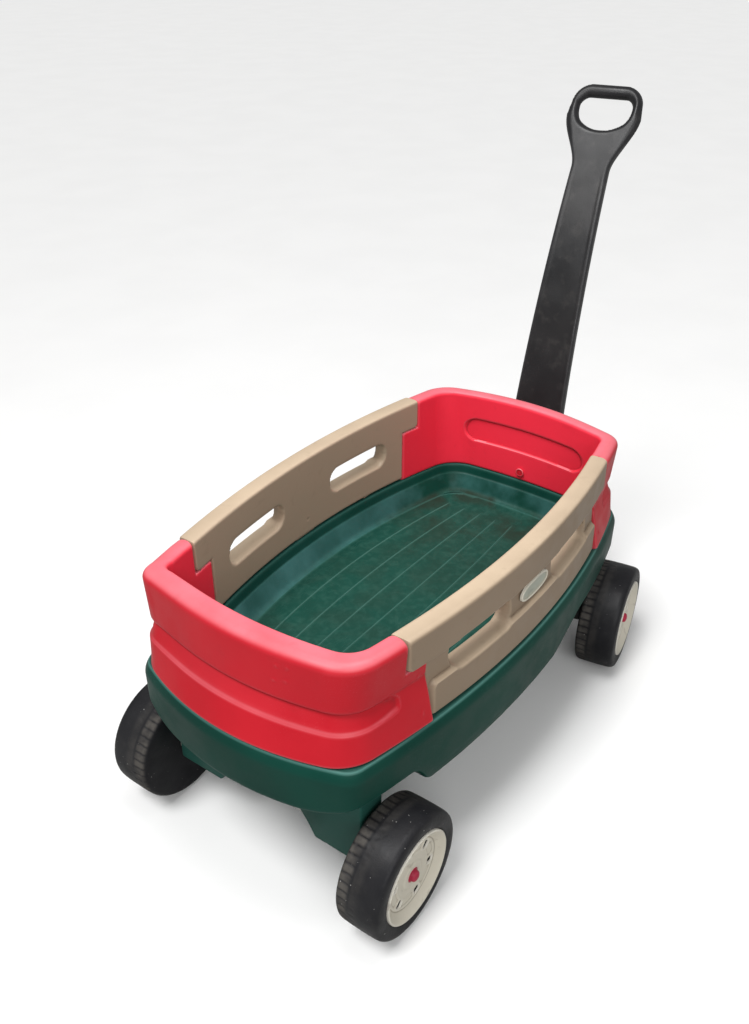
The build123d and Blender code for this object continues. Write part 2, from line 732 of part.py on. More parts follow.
with BuildPart() as handle:
    with BuildSketch(STEERED_SIDE):
        with BuildLine():
            ThreePointArc((pivot.X, pivot.Z), (middle.X, middle.Z), (tip.X, tip.Z))
            offset(amount=HANDLE_THICKNESS / 2, side=Side.BOTH)
        make_face()
    extrude(amount=GRIP_WIDTH, both=True)
    with BuildSketch(placed(STEERED, GRIP_FACE)) as handle_front:
        with BuildLine():
            Polyline((0, -20), (foot, -20), (foot, FOOT_TOP), (HANDLE_NECK_WIDTH / 2, NECK_TOP))
            Spline(
                (HANDLE_NECK_WIDTH / 2, NECK_TOP),
                (GRIP_WIDTH / 2, GRIP_START),
                tangents=[(0, 1), (0, 1)],
            )
            Polyline((GRIP_WIDTH / 2, GRIP_START), (GRIP_WIDTH / 2 - 12, GRIP_TOP), (0, GRIP_TOP))
            mirror(about=Plane.YZ)
        make_face()
        with BuildLine():
            ThreePointArc((-GRIP_HOLE_Y, GRIP_START), (0, GRIP_HOLE_BOTTOM), (GRIP_HOLE_Y, GRIP_START))
            Polyline(
                (GRIP_HOLE_Y, GRIP_START),
                (GRIP_HOLE_Y - 3, GRIP_HOLE_TOP),
                (3 - GRIP_HOLE_Y, GRIP_HOLE_TOP),
                (-GRIP_HOLE_Y, GRIP_START),
            )
        make_face(mode=Mode.SUBTRACT)
        fillet(handle_front.vertices().filter_by_position(Axis.Y, GRIP_HOLE_TOP - 4, GRIP_HOLE_TOP + 4), 14)
        fillet(handle_front.vertices().group_by(Axis.Y)[-1], 30)
    extrude(amount=150, both=True, mode=Mode.INTERSECT)
    add(handle_hollow.part, mode=Mode.SUBTRACT)
    with BuildSketch(STEERED_SIDE):
        with Locations((PIVOT_X, PIVOT_Z)):
            Circle(HANDLE_SLEEVE_RADIUS)
    extrude(amount=ACROSS, both=True, mode=Mode.SUBTRACT)
save(handle, "handle")

with BuildPart() as handle_sleeve:
    with BuildSketch(STEERED_SIDE):
        with Locations((PIVOT_X, PIVOT_Z)):
            Circle(HANDLE_SLEEVE_RADIUS)
            Circle(PIN_RADIUS + RUNNING_CLEARANCE, mode=Mode.SUBTRACT)
    extrude(amount=foot, both=True)
save(handle_sleeve, "handle_sleeve")


# ---- axles, wheels and their fasteners ----
def axle(place, label):
    """Round steel rod from wheel to wheel."""
    with BuildPart() as rod:
        with BuildSketch(placed(place, Plane.XZ)):
            with Locations((0, AXLE_HEIGHT)):
                Circle(AXLE_RADIUS)
        extrude(amount=WHEEL_OUTER_FACE - 1, both=True)
    save(rod, label)


def spin_plane(place, side):
    """Plane through an axle: local x runs outwards along it and local y is the radius."""
    return placed(place, Plane(origin=(0, 0, AXLE_HEIGHT), x_dir=(0, side, 0), z_dir=(side, 0, 0)))


def axle_rings(place, label, rings):
    """Rings on both ends of an axle, each from one distance to another and out to a radius."""
    with BuildPart() as group:
        for side in (-1, 1):
            plane = spin_plane(place, side)
            for start, end, radius in rings:
                with BuildSketch(plane):
                    with Locations(((start + end) / 2, (AXLE_RADIUS + radius) / 2)):
                        Rectangle(end - start, radius - AXLE_RADIUS)
                revolve(axis=Axis(plane.origin, plane.x_dir))
    save(group, label)


def axle_caps(place, label):
    """Domed push-on caps over both axle ends."""
    outer = WHEEL_OUTER_FACE
    with BuildPart() as group:
        for side in (-1, 1):
            plane = spin_plane(place, side)
            with BuildSketch(plane):
                with BuildLine():
                    Polyline(
                        (outer - 1, 0),
                        (outer - 1, AXLE_RADIUS),
                        (outer - 8, AXLE_RADIUS),
                        (outer - 8, CAP_RADIUS),
                        (outer + 1, CAP_RADIUS),
                        (outer + 4.5, 9),
                        (outer + 6, 4),
                        (outer + 6, 0),
                        close=True,
                    )
                make_face()
            revolve(axis=Axis(plane.origin, plane.x_dir))
    save(group, label)


def wheel(place, side, label):
    """Hollow moulded tyre, snap-in disc and hub bushing of one wheel."""
    plane = spin_plane(place, side)
    spin = Axis(plane.origin, plane.x_dir)
    inner, outer = WHEEL_INNER_FACE, WHEEL_OUTER_FACE
    hub_end = outer - 10
    with BuildPart() as tyre:
        with BuildSketch(plane) as profile:
            with BuildLine():
                Polyline(
                    (inner, HUB_BORE),
                    (inner, WHEEL_RADIUS),
                    (outer, WHEEL_RADIUS),
                    (outer, DISC_RADIUS + 0.5),
                    (outer - 5, DISC_RADIUS + 0.5),
                    (outer - 7, 101),
                    (inner + 7, 103),
                    (inner + 5, 22),
                    (hub_end, 20),
                    (hub_end, HUB_BORE),
                    close=True,
                )
            make_face()
            fillet(profile.vertices().group_by(Axis.Y)[-1], TREAD_CORNER)
        revolve(axis=spin)
    save(tyre, f"{label}_tyre")
    with BuildPart() as disc:
        with BuildSketch(plane):
            with BuildLine():
                Polyline(
                    (outer - 4, DISC_RADIUS),
                    (outer + 1, DISC_RADIUS),
                    (outer + 2.5, 77),
                    (outer + 1, 64),
                    (outer - 3, 61),
                    (outer - 7, 34),
                    (outer - 3, 27),
                    (outer - 3, 14),
                    (outer - 6, 14),
                    (outer - 6, 26),
                    (outer - 10, 34),
                    (outer - 6, 62),
                    (outer - 4, 66),
                    close=True,
                )
            make_face()
        revolve(axis=spin)
        # Six trapezoid windows in the dish.
        with BuildSketch(plane.rotated((0, 90, 0))):
            with PolarLocations(47, 6):
                Trapezoid(11, 13, 80, rotation=-90)
        extrude(amount=400, both=True, mode=Mode.SUBTRACT)
    save(disc, f"{label}_disc")
    with BuildPart() as bushing:
        with BuildSketch(plane):
            with BuildLine():
                Polyline(
                    (inner - 2, AXLE_RADIUS + RUNNING_CLEARANCE),
                    (inner - 2, 20),
                    (inner, 20),
                    (inner, HUB_BORE),
                    (hub_end, HUB_BORE),
                    (hub_end, AXLE_RADIUS + RUNNING_CLEARANCE),
                    close=True,
                )
            make_face()
        revolve(axis=spin)
    save(bushing, f"{label}_bushing")


inner_washer = (LEG_OUTER_Y, WHEEL_INNER_FACE - 2.3, 14)
outer_washer = (WHEEL_OUTER_FACE - 9.7, WHEEL_OUTER_FACE - 8, 11)
for end, place in (("rear", STRAIGHT), ("front", STEERED)):
    axle(place, f"{end}_axle")
    axle_rings(place, f"{end}_axle_washers", (inner_washer, outer_washer))
    axle_caps(place, f"{end}_axle_caps")
    wheel(place, 1, f"{end}_left")
    wheel(place, -1, f"{end}_right")
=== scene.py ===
"""Looks of the kids pull wagon: moulded shells, tyres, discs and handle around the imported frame."""

import json
import math

import bmesh
import bpy
import numpy as np
from mathutils import Matrix, Vector


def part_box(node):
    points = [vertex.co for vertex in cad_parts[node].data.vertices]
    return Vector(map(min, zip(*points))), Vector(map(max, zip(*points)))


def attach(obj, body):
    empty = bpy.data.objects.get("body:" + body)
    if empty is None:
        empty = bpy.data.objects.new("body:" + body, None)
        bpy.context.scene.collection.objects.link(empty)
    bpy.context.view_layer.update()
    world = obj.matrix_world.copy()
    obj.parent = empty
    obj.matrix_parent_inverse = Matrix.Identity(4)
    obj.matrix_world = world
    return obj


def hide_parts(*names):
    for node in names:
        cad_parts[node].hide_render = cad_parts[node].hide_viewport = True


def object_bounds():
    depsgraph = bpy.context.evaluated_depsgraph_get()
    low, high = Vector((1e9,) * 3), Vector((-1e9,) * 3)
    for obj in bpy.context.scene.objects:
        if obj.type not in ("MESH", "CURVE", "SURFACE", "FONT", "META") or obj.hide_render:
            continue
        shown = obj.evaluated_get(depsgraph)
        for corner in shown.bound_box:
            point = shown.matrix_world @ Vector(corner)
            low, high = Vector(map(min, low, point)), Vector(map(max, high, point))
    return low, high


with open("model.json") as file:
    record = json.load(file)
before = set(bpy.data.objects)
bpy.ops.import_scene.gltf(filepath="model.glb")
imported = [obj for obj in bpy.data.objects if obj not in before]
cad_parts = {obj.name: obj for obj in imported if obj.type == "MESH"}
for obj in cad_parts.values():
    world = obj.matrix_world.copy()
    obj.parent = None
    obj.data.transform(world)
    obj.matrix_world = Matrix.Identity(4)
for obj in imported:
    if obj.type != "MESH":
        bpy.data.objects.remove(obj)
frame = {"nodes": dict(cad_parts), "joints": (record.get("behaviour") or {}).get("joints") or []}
cad_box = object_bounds()
joints = {joint["name"]: joint for joint in frame["joints"]}

# ---- places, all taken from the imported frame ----
MM = 0.001
tub_low, tub_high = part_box("tub")
ORIGIN = np.array([(tub_low.x + tub_high.x) / 2, (tub_low.y + tub_high.y) / 2, cad_box[0].z])

# Shapes below are in millimetres about the middle of the bed at ground height.
LEDGE_Z = 343.5
WALL_Z = 517.0
FLOOR_Z = 292.0
WALL_TOP = (457, 259.5, 30, 46.5, 64)
WALL_BOTTOM = (489.5, 275, 47, 58, 83)
WALL_INNER_TOP = (422, 225, 24, 44.5, 38)
WALL_INNER_BOTTOM = (431.5, 231, 12, 51, 72)
RIM = (493, 276.5, 58, 60, 45)
BASIN = (432.5, 232, 12, 51, 72)
TONGUE_X = 283.5
RAIL_X = 326.5
NOTCH_Z = 455.5

# Path coordinate round a barrel: lengths of half an end, a corner and the blend to the side.
END_PATH = 145.0
CORNER_PATH = 95.0
JOIN_PATH = 12.0
JOIN_X = 345.0
SIDE_PATH = END_PATH + CORNER_PATH + JOIN_PATH


# ---- numeric helpers ----
def node_middle(node):
    """Middle of a CAD node's box, in millimetres about the bed's middle at ground height."""
    low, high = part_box(node)
    return (np.array(low) + np.array(high)) / 2 / MM - ORIGIN / MM


def circle(count):
    """Angles evenly round a circle."""
    return np.linspace(0, 2 * np.pi, count, endpoint=False)


def xyz(x, y, z):
    """Points from three coordinates, any of which may be a single number."""
    return np.stack(np.broadcast_arrays(x, y, z), axis=1)


def ramp(value, low, high):
    """Smooth 0 to 1 between low and high."""
    t = np.clip((value - low) / (high - low), 0, 1)
    return t * t * (3 - 2 * t)


def roll(distance, radius, depth=None, power=2.0):
    """How far a face curls in near an edge: the depth at the edge, none beyond the radius."""
    depth = radius if depth is None else depth
    t = 1 - np.clip(distance / radius, 0, 1)
    return depth * (1 - (1 - t**power) ** (1 / power))


def rounded(dx, dz, radius):
    """Distance inside a corner of a given radius, from the distances to its two sides."""
    corner = radius - np.hypot(np.maximum(radius - dx, 0), np.maximum(radius - dz, 0))
    return np.where((dx < radius) & (dz < radius), corner, np.minimum(dx, dz))


def lines(start, stop, step, edges=(), near=(0, 0.7, 1.6, 2.8, 4.2), also=()):
    """Grid lines between two values, with extra ones close to some edges."""
    values = list(np.linspace(start, stop, int(round((stop - start) / step)) + 1))
    extra = [edge + sign * gap for edge in edges for gap in near for sign in (-1, 1)] + list(also)
    extra = [value for value in extra if start <= value <= stop]
    keep = [v for v in values if all(abs(v - e) > 0.4 * step for e in extra)]
    merged = sorted(set(np.round(keep + extra + [start, stop], 3)))
    return np.array(merged)


def barrel(shape, s):
    """Point of a barrel outline at path coordinate s, 0 at the middle of its +X end."""
    length, width, end_bulge, side_bulge, corner = shape
    reach_x, reach_y = length - corner, width - corner
    x, y = reach_x - end_bulge, reach_y - side_bulge
    for _ in range(30):
        y = reach_y - side_bulge * (x / reach_x) ** 2
        x = reach_x - end_bulge * (y / reach_y) ** 2
    a = np.abs(s)
    end_y = y * np.clip(a / END_PATH, 0, 1)
    end_x = reach_x - end_bulge * (end_y / reach_y) ** 2
    tilt = np.arctan(2 * end_bulge * end_y / reach_y**2)
    low = np.arctan(2 * end_bulge * y / reach_y**2)
    high = np.pi / 2 - np.arctan(2 * side_bulge * x / reach_x**2)
    angle = low + (high - low) * np.clip((a - END_PATH) / CORNER_PATH, 0, 1)
    corner_x = x + corner * np.cos(high)
    past = a - END_PATH - CORNER_PATH
    target = np.where(
        past < JOIN_PATH,
        corner_x + (JOIN_X - corner_x) * past / JOIN_PATH,
        JOIN_X - (past - JOIN_PATH),
    )
    q = target
    for _ in range(8):
        slope = 2 * side_bulge * q / reach_x**2
        q = target - corner * slope / np.hypot(1, slope)
    slope = 2 * side_bulge * q / reach_x**2
    side_y = reach_y - side_bulge * (q / reach_x) ** 2 + corner / np.hypot(1, slope)
    px = np.select(
        [a <= END_PATH, past <= 0], [end_x + corner * np.cos(tilt), x + corner * np.cos(angle)], target
    )
    py = np.select(
        [a <= END_PATH, past <= 0], [end_y + corner * np.sin(tilt), y + corner * np.sin(angle)], side_y
    )
    return px, py * np.where(s < 0, -1, 1)


def inset(shape, distance):
    """Barrel drawn in by a distance, which may differ from point to point."""
    length, width, end_bulge, side_bulge, corner = shape
    return (
        length - distance,
        width - distance,
        end_bulge,
        side_bulge,
        np.maximum(corner - distance, 8.0),
    )


def wall(bottom, top, z, distance, s):
    """Points of a side wall at heights z, drawn in by a distance."""
    share = (z - LEDGE_Z) / (WALL_Z - LEDGE_Z)
    shape = [a + (b - a) * share for a, b in zip(bottom, top)]
    x, y = barrel(inset(shape, distance), s)
    return xyz(x, y, z)


def steered(points):
    """Points drawn about the front axle's middle, turned with the steering."""
    axis = np.array(joints["front_left_roll"]["axis"])
    forward = np.array([axis[1], -axis[0], 0.0])
    centre = np.array(joints["steer"]["pos_m"]) / MM - ORIGIN / MM
    p = np.asarray(points, float)
    turned = p[:, :1] * forward + p[:, 1:2] * axis + p[:, 2:] * np.array([0, 0, 1.0])
    return turned + np.array([centre[0], centre[1], 0])


# ---- mesh builders ----
def edge_pairs(wraps):
    """Index pairs for the two ends of every grid edge, in both directions."""
    every = slice(None)
    pairs = [((slice(0, -1), every), (slice(1, None), every))]
    pairs.append(((every, slice(0, -1)), (every, slice(1, None))))
    if wraps:
        pairs.append(((every, slice(-1, None)), (every, slice(0, 1))))
    return pairs


def shell(us, vs, region, front, back, period=None):
    """Closed sheet over the part of a grid where region is positive, as points and faces."""
    U, V = np.meshgrid(us, vs, indexing="ij")
    nu, nv = U.shape
    grid = region(U, V)
    near = np.abs(grid) < 1e-6
    for first, second in edge_pairs(bool(period)):
        crossing = grid[first] * grid[second] < 0
        closer = np.abs(grid[first]) < np.abs(grid[second])
        near[first] |= crossing & closer
        near[second] |= crossing & ~closer
    U, V, near = U.ravel(), V.ravel(), near.ravel()
    e = 0.01
    for _ in range(4):
        u, v = U[near], V[near]
        d = region(u, v)
        gu = (region(u + e, v) - region(u - e, v)) / (2 * e)
        gv = (region(u, v + e) - region(u, v - e)) / (2 * e)
        size = np.maximum(gu**2 + gv**2, 0.25)
        U[near] = np.clip(u - d * gu / size, us[0], us[-1])
        V[near] = v - d * gv / size if period else np.clip(v - d * gv / size, vs[0], vs[-1])
    distance = region(U, V)
    distance[near] = 0
    inside = distance > -1e-9
    i, j = np.meshgrid(np.arange(nu - 1), np.arange(nv if period else nv - 1), indexing="ij")
    i, j = i.ravel(), j.ravel()
    k = (j + 1) % nv
    cell = np.stack([i * nv + j, (i + 1) * nv + j, (i + 1) * nv + k, i * nv + k], axis=1)
    shift = np.where((k < j)[:, None], [[0, 0, period or 0, period or 0]], 0)
    cu, cv = U[cell], V[cell] + shift
    count = inside[cell].sum(1)
    faces = []
    for number in (4, 3):
        pick = np.flatnonzero(count == number)
        order = np.argsort(~inside[cell[pick]], axis=1, kind="stable")[:, :number]
        order = np.sort(order, axis=1)
        ids = np.take_along_axis(cell[pick], order, 1)
        pu, pv = np.take_along_axis(cu[pick], order, 1), np.take_along_axis(cv[pick], order, 1)
        area = 0.5 * np.abs(
            (pu * np.roll(pv, -1, 1)).sum(1) - (np.roll(pu, -1, 1) * pv).sum(1)
        )
        centre = region(pu.mean(1), pv.mean(1))
        good = (area > 0.02) & ((centre > 0) | (distance[ids].max(1) > 0))
        faces += ids[good].tolist()
    loops = np.concatenate([np.stack([f, np.roll(f, -1)], axis=1) for f in map(np.array, faces)])
    key = np.sort(loops, axis=1) @ np.array([nu * nv, 1])
    _, first, repeats = np.unique(key, return_index=True, return_counts=True)
    rim = loops[first[repeats == 1]]
    total = nu * nv
    back_faces = [[v + total for v in reversed(face)] for face in faces]
    walls = [[q, p, p + total, q + total] for p, q in rim.tolist()]
    points = np.concatenate([front(U, V), back(U, V)])
    return points, faces + back_faces + walls


def tube(rings):
    """Rings of equal count joined in order, the first and last filled."""
    rings = [np.asarray(r, float) for r in rings]
    n = len(rings[0])
    faces = []
    for r in range(len(rings) - 1):
        for k in range(n):
            m = (k + 1) % n
            faces.append([r * n + k, r * n + m, (r + 1) * n + m, (r + 1) * n + k])
    faces.append(list(range(n))[::-1])
    faces.append([(len(rings) - 1) * n + k for k in range(n)])
    return np.concatenate(rings), faces


def curve_path(corners, steps=5):
    """Polygon corners given as (a, r, radius), with each corner rounded off."""
    result = []
    count = len(corners)
    for k, (a, r, radius) in enumerate(corners):
        here = np.array([a, r], float)
        before = np.array(corners[k - 1][:2], float)
        after = np.array(corners[(k + 1) % count][:2], float)
        if radius <= 0:
            result.append(here)
            continue
        d0, d1 = before - here, after - here
        cut0 = min(radius, 0.48 * np.linalg.norm(d0))
        cut1 = min(radius, 0.48 * np.linalg.norm(d1))
        start = here + d0 / np.linalg.norm(d0) * cut0
        stop = here + d1 / np.linalg.norm(d1) * cut1
        for t in np.linspace(0, 1, steps):
            result.append((1 - t) ** 2 * start + 2 * t * (1 - t) * here + t * t * stop)
    return np.array(result)


def spread(path, step):
    """Closed path with long stretches divided."""
    result = []
    for k in range(len(path)):
        p, q = path[k], path[(k + 1) % len(path)]
        n = max(1, int(np.linalg.norm(q - p) / step))
        result += [p + (q - p) * t / n for t in range(n)]
    return np.array(result)


def turned(path, count, lift=None):
    """Closed (axial, radius) path turned into a ring, as (axial, radius, angle) points."""
    angles = circle(count)
    A = np.repeat(path[:, 0][None], count, 0)
    R = np.repeat(path[:, 1][None], count, 0)
    T = np.repeat(angles[:, None], len(path), 1)
    if lift is not None:
        R = R + lift(A, R, T)
    n = len(path)
    faces = []
    for i in range(count):
        m = (i + 1) % count
        for j in range(n):
            k = (j + 1) % n
            faces.append([i * n + j, m * n + j, m * n + k, i * n + k])
    return A.ravel(), R.ravel(), T.ravel(), faces


def smooth_box(low, high, radius):
    """Box with rounded edges, as points and faces."""
    bm = bmesh.new()
    bmesh.ops.create_cube(bm, size=1)
    low, high = np.array(low, float), np.array(high, float)
    for v in bm.verts:
        v.co = Vector((np.array(v.co) + 0.5) * (high - low) + low)
    bmesh.ops.bevel(
        bm, geom=bm.edges[:], offset=radius, segments=3, profile=0.5, affect="EDGES"
    )
    points = np.array([v.co[:] for v in bm.verts])
    faces = [[v.index for v in f.verts] for f in bm.faces]
    bm.free()
    return points, faces


def joined(*parts):
    """Several (points, faces) as one."""
    points, faces, base = [], [], 0
    for p, f in parts:
        points.append(np.asarray(p, float))
        faces += [[v + base for v in face] for face in f]
        base += len(p)
    return np.concatenate(points), faces


def piece(name, data, material, body, nodes=(), masks=None, weld=0.02, sharp=50):
    """Object from points in millimetres, riding on a CAD body and standing for CAD nodes."""
    points, faces = data
    mesh = bpy.data.meshes.new(name)
    mesh.from_pydata((np.asarray(points) * MM + ORIGIN).tolist(), [], faces)
    for key, values in (masks or {}).items():
        mesh.attributes.new(key, "FLOAT", "POINT").data.foreach_set(
            "value", np.asarray(values, np.float32)
        )
    bm = bmesh.new()
    bm.from_mesh(mesh)
    loose = [v for v in bm.verts if not v.link_faces]
    bmesh.ops.delete(bm, geom=loose, context="VERTS")
    bmesh.ops.remove_doubles(bm, verts=bm.verts[:], dist=weld * MM)
    bmesh.ops.dissolve_degenerate(bm, edges=bm.edges[:], dist=1e-6)
    bmesh.ops.recalc_face_normals(bm, faces=bm.faces[:])
    if bm.calc_volume(signed=True) < 0:
        bmesh.ops.reverse_faces(bm, faces=bm.faces[:])
    for face in bm.faces:
        face.smooth = True
    bm.to_mesh(mesh)
    bm.free()
    mesh.set_sharp_from_angle(angle=math.radians(sharp))
    mesh.materials.append(material)
    made = bpy.data.objects.new(name, mesh)
    bpy.context.scene.collection.objects.link(made)
    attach(made, body)
    if nodes:
        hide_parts(*nodes)
    return made


# ---- materials ----
class Shader:
    """Small helper that builds a node material around one Principled shader."""

    def __init__(self, name):
        self.material = bpy.data.materials.new(name)
        self.material.use_nodes = True
        self.tree = self.material.node_tree
        self.bsdf = self.tree.nodes["Principled BSDF"]
        self.coord = self.node("ShaderNodeTexCoord").outputs["Object"]
        self.geometry = self.node("ShaderNodeNewGeometry")

    def node(self, kind, **settings):
        made = self.tree.nodes.new(kind)
        for key, value in settings.items():
            setattr(made, key, value)
        return made

    def link(self, value, socket):
        if isinstance(value, bpy.types.NodeSocket):
            self.tree.links.new(value, socket)
        elif value is not None:
            colour = isinstance(value, tuple) and len(value) == 3
            socket.default_value = (*value, 1) if colour else value

    def noise(self, scale, detail=4.0, stretch=(1, 1, 1), turn=(0, 0, 0), distortion=0.0):
        mapping = self.node("ShaderNodeMapping")
        self.link(self.coord, mapping.inputs["Vector"])
        mapping.inputs["Scale"].default_value = stretch
        mapping.inputs["Rotation"].default_value = turn
        made = self.node("ShaderNodeTexNoise")
        self.link(mapping.outputs[0], made.inputs["Vector"])
        made.inputs["Scale"].default_value = scale
        made.inputs["Detail"].default_value = detail
        made.inputs["Distortion"].default_value = distortion
        return made.outputs["Fac"]

    def span(self, value, low, high, out_low=0.0, out_high=1.0):
        made = self.node("ShaderNodeMapRange", interpolation_type="SMOOTHSTEP")
        self.link(value, made.inputs["Value"])
        keys = ("From Min", "From Max", "To Min", "To Max")
        for key, number in zip(keys, (low, high, out_low, out_high)):
            made.inputs[key].default_value = number
        return made.outputs["Result"]

    def math(self, operation, a, b=None):
        made = self.node("ShaderNodeMath", operation=operation)
        self.link(a, made.inputs[0])
        if b is not None:
            self.link(b, made.inputs[1])
        return made.outputs[0]

    def mix(self, share, a, b):
        made = self.node("ShaderNodeMix", data_type="RGBA")
        self.link(share, made.inputs["Factor"])
        self.link(a, made.inputs["A"])
        self.link(b, made.inputs["B"])
        return made.outputs["Result"]

    def mask(self, name):
        made = self.node("ShaderNodeAttribute", attribute_name=name)
        return made.outputs["Fac"]

    def axis(self, vector, letter):
        made = self.node("ShaderNodeSeparateXYZ")
        self.link(vector, made.inputs[0])
        return made.outputs[letter]

    def scratches(self, scale, stretch, turn, low=0.66, high=0.74):
        """Thin streaks that come and go."""
        streak = self.span(self.noise(scale, 2.0, stretch, turn), low, high)
        return self.math("MULTIPLY", streak, self.span(self.noise(9.0, 2.0), 0.45, 0.65))

    def bump(self, height, distance, strength=1.0, normal=None):
        made = self.node("ShaderNodeBump")
        self.link(height, made.inputs["Height"])
        made.inputs["Distance"].default_value = distance
        made.inputs["Strength"].default_value = strength
        if normal is not None:
            self.link(normal, made.inputs["Normal"])
        return made.outputs["Normal"]

    def mottle(self, scale, low, high):
        """Slow change between two numbers."""
        return self.span(self.noise(scale, 5.0), 0.3, 0.7, low, high)

    def two_tone(self, scale, first, second):
        """Slow change between two colours."""
        return self.mix(self.span(self.noise(scale, 5.0), 0.3, 0.7), first, second)

    def cover(self, body, colour, share, amount):
        """Colour laid over another by a share."""
        return self.mix(self.math("MULTIPLY", share, amount), body, colour)

    def relief(self, fine, wide, cuts=None):
        """Bump of a fine skin, slow waves and any cut-in streaks."""
        normal = self.bump(self.noise(*fine[:2]), *fine[2:])
        normal = self.bump(self.noise(*wide[:2]), *wide[2:], normal)
        if cuts:
            normal = self.bump(self.math("MULTIPLY", cuts[0], -1.0), *cuts[1:], normal)
        return normal

    def finish(self, colour, roughness, normal=None, **extra):
        self.link(colour, self.bsdf.inputs["Base Color"])
        self.link(roughness, self.bsdf.inputs["Roughness"])
        if normal is not None:
            self.link(normal, self.bsdf.inputs["Normal"])
        for key, value in extra.items():
            self.link(value, self.bsdf.inputs[key.replace("_", " ")])
        return self.material


def moulded(
    name, colour, deep, sheen_and_scuff, painted_top_sheen=0.0, painted_edge_highlight=0.5, rough=0.42, scuff=0.35,
    grime=None, grime_share=0.0, inside=None,
):
    """Satin moulded polyethylene: mottled colour, a painted sheen on tops, painted highlights on edges, an
    inside colour (painted light on red and tan inner faces), scuffs and a fine skin.
    """
    s = Shader(name)
    body = s.two_tone(5.5, deep, colour)
    # Inside colour: for red and tan a lighter copy of the plastic, painting light onto the inner faces;
    # for the badge the inner field's own colour.
    if inside:
        body = s.mix(s.mask("inside"), body, inside)
    # Painted sheen: tops paled by how far they face up, standing in for the sky's reflection on them.
    up = s.span(s.axis(s.geometry.outputs["Normal"], "Z"), 0.35, 0.95, 0.0, painted_top_sheen)
    patchy = s.span(s.noise(14.0, 5.0), 0.25, 0.75, 0.7, 1.0)
    body = s.cover(body, sheen_and_scuff, up, patchy)
    # Painted highlight: convex edges mixed towards the pale colour.
    edge = s.span(s.geometry.outputs["Pointiness"], 0.505, 0.56, 0.0, painted_edge_highlight)
    body = s.mix(edge, body, sheen_and_scuff)
    streaks = s.math(
        "MAXIMUM",
        s.scratches(60.0, (1, 14, 14), (0.3, 0.2, 0.5)),
        s.scratches(75.0, (16, 1, 16), (0.5, 0.9, -0.4), 0.68, 0.75),
    )
    body = s.cover(body, sheen_and_scuff, streaks, scuff)
    if grime:
        spots = s.span(s.noise(38.0, 6.0, distortion=0.4), 0.60, 0.72, 0.0, grime_share)
        body = s.mix(spots, body, grime)
        crease = s.span(s.geometry.outputs["Pointiness"], 0.497, 0.46, 0.0, 0.55)
        body = s.mix(crease, body, grime)
    roughness = s.math(
        "ADD",
        s.mottle(22.0, rough - 0.06, rough + 0.08),
        s.math("MULTIPLY", streaks, 0.12),
    )
    normal = s.relief((420.0, 1.0, 0.00006, 0.12), (24.0, 1.0, 0.0012, 0.4), (streaks, 0.0002, 0.5))
    return s.finish(body, roughness, normal, Specular_IOR_Level=0.24)


# On RED and TAN the inside colour is painted light: inner faces lighter than the same plastic outside.
RED = moulded(
    "faded_red_plastic", (0.58, 0.010, 0.022), (0.50, 0.006, 0.016), (0.76, 0.22, 0.26),
    painted_top_sheen=0.72, painted_edge_highlight=0.45, rough=0.40, scuff=0.20, grime=(0.30, 0.012, 0.018), grime_share=0.08,
    inside=(0.88, 0.030, 0.060),
)
TAN = moulded(
    "tan_plastic", (0.30, 0.222, 0.155), (0.27, 0.20, 0.137), (0.56, 0.44, 0.315),
    painted_top_sheen=0.75, painted_edge_highlight=0.35, rough=0.42, scuff=0.18, grime=(0.17, 0.12, 0.08), grime_share=0.10,
    inside=(0.38, 0.285, 0.205),
)
CREAM = moulded(
    "cream_disc_plastic", (0.72, 0.68, 0.58), (0.64, 0.60, 0.50), (0.86, 0.84, 0.78),
    painted_top_sheen=0.1, painted_edge_highlight=0.5, rough=0.36, scuff=0.2, grime=(0.16, 0.12, 0.08), grime_share=0.35,
)
BADGE = moulded(
    "badge_plastic", (0.66, 0.62, 0.50), (0.58, 0.55, 0.45), (0.82, 0.79, 0.70),
    painted_top_sheen=0.2, painted_edge_highlight=0.6, rough=0.36, scuff=0.3, grime=(0.20, 0.21, 0.17), grime_share=0.3,
    inside=(0.40, 0.42, 0.35),
)
CAP = moulded(
    "red_cap_plastic", (0.50, 0.018, 0.06), (0.38, 0.012, 0.045), (0.62, 0.10, 0.15),
    painted_top_sheen=0.15, painted_edge_highlight=0.3, rough=0.34, scuff=0.3, grime=(0.2, 0.02, 0.03), grime_share=0.2,
)
NYLON = moulded(
    "nylon_bearing", (0.62, 0.61, 0.56), (0.50, 0.49, 0.45), (0.75, 0.74, 0.70), rough=0.38,
    grime=(0.12, 0.11, 0.10), grime_share=0.4,
)


